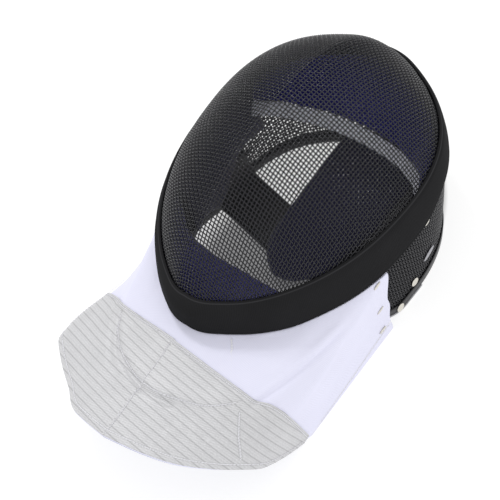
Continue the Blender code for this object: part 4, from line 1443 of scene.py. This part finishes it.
class MASK_OT_metal(bpy.types.Operator):
    """Sets the rivets, side plates and staples"""

    bl_idname = "mask.metal"
    bl_label = "Metal pieces"

    def execute(self, context):
        steel = metal_material("warm_steel", context.scene.mask_colours.steel, 0.34)
        grey = metal_material("grey_steel", PLATE_COLOUR, 0.38)
        for side, mirror in (("left", 1), ("right", -1)):
            for row in RIVETS:
                point, normal, along = on_side(row["y"] * MM, row["forward"] * MM)
                name = f"rivet_{side}_{row['name']}"
                head = head_shape(f"head_{name}", point + normal * row["off"] * MM, normal, along,
                                  RIVET_SIZE, 1.0 * MM, steel, mirror)
                finish_piece(head, "warm_steel", name)
            point, normal, along = on_side(SIDE_PLATE["y"] * MM, SIDE_PLATE["forward"] * MM)
            plate = head_shape(f"plate_{side}", point + normal * SIDE_PLATE["off"] * MM, normal, along,
                               PLATE_SIZE, 1.0 * MM, grey, mirror)
            finish_piece(plate, "grey_steel", f"side_plate_{side}")
            for row in STAPLES:
                across = np.array([mirror * row["along"]])
                down = np.array([row["down"]])
                normal = bib_normal(across, down)[0]
                middle = bib_point(across, down)[0] + normal * (BIB_WALL / 2 + GAP)
                fall = unit(bib_point(across, down + 0.01)[0] - bib_point(across, down - 0.01)[0])
                name = f"staple_{side}_{row['name']}"
                head = head_shape(f"bar_{name}", middle, normal, fall, STAPLE_SIZE, 0.9 * MM, steel, 1)
                finish_piece(head, "warm_steel", name)
        return {"FINISHED"}


def set_down(name, data, where, axes):
    """Puts a light or the camera into the scene by its place and its right, up and back directions."""
    obj = bpy.data.objects.new(name, data)
    rows = [[*row, shift] for row, shift in zip(np.stack(axes, 1), where)]
    obj.matrix_world = Matrix(rows + [[0, 0, 0, 1]])
    bpy.context.scene.collection.objects.link(obj)
    return obj


class MASK_OT_stage(bpy.types.Operator):
    """Sets the floor, the soft lights and the camera"""

    bl_idname = "mask.stage"
    bl_label = "Stage"

    def execute(self, context):
        scene = context.scene
        settings = scene.mask_stage
        floor = bpy.data.meshes.new("floor")
        corners = ((-1, -1), (1, -1), (1, 1), (-1, 1))
        floor.from_pydata([(x * FLOOR_HALF, y * FLOOR_HALF, FLOOR_Z) for x, y in corners], [], [(0, 1, 2, 3)])
        plane = bpy.data.objects.new("floor", floor)
        scene.collection.objects.link(plane)
        floor.materials.append(floor_material(settings.floor_glow))

        world = bpy.data.worlds.new("studio")
        world.use_nodes = True
        world.node_tree.nodes["Background"].inputs["Color"].default_value = (1, 1, 1, 1)
        world.node_tree.nodes["Background"].inputs["Strength"].default_value = settings.sky
        scene.world = world

        for row in LIGHTS:
            data = bpy.data.lights.new(row["name"], "AREA")
            data.size = row["size"]
            data.energy = settings.key * row["share"]
            back = unit(np.array(row["at"]) - np.array(LIT_POINT))
            side = unit(np.cross([0.0, 0.0, 1.0], back))
            set_down(row["name"], data, row["at"], (side, np.cross(back, side), back))

        data = bpy.data.cameras.new("camera")
        data.lens = settings.lens
        data.sensor_width = 36.0
        data.clip_start = 0.05
        data.clip_end = 50.0
        scene.camera = set_down("camera", data, CAMERA_AT, CAMERA_AXES)
        scene.view_settings.view_transform = "Standard"
        return {"FINISHED"}


STEPS = ("stage", "front_wires", "side_wires", "trim", "rim", "bib", "sewing", "pads", "strap", "metal")


class MASK_PT_panel(bpy.types.Panel):
    """Lists the mask's sizes, colours and pieces"""

    bl_idname = "MASK_PT_panel"
    bl_label = "Fencing mask"
    bl_space_type = "VIEW_3D"
    bl_region_type = "UI"
    bl_category = "Mask"

    def draw(self, context):
        for group in (context.scene.mask_sizes, context.scene.mask_colours, context.scene.mask_stage):
            box = self.layout.box()
            for name in group.__annotations__:
                box.prop(group, name)
        for name in STEPS:
            self.layout.operator(f"mask.{name}")


GROUPS = {"mask_sizes": MaskSizes, "mask_colours": MaskColours, "mask_stage": MaskStage}
CLASSES = (
    MaskSizes, MaskColours, MaskStage, MASK_OT_stage, MASK_OT_front_wires, MASK_OT_side_wires, MASK_OT_trim,
    MASK_OT_rim, MASK_OT_bib, MASK_OT_sewing, MASK_OT_pads, MASK_OT_strap, MASK_OT_metal, MASK_PT_panel,
)


def register():
    for item in CLASSES:
        bpy.utils.register_class(item)
    for name, group in GROUPS.items():
        setattr(bpy.types.Scene, name, bpy.props.PointerProperty(type=group))


def unregister():
    for name in GROUPS:
        delattr(bpy.types.Scene, name)
    for item in reversed(CLASSES):
        bpy.utils.unregister_class(item)


def main():
    register()
    for name in STEPS:
        if getattr(bpy.ops.mask, name)() != {"FINISHED"}:
            raise RuntimeError(f"mask.{name} didn't finish")


if __name__ == "__main__":
    main()
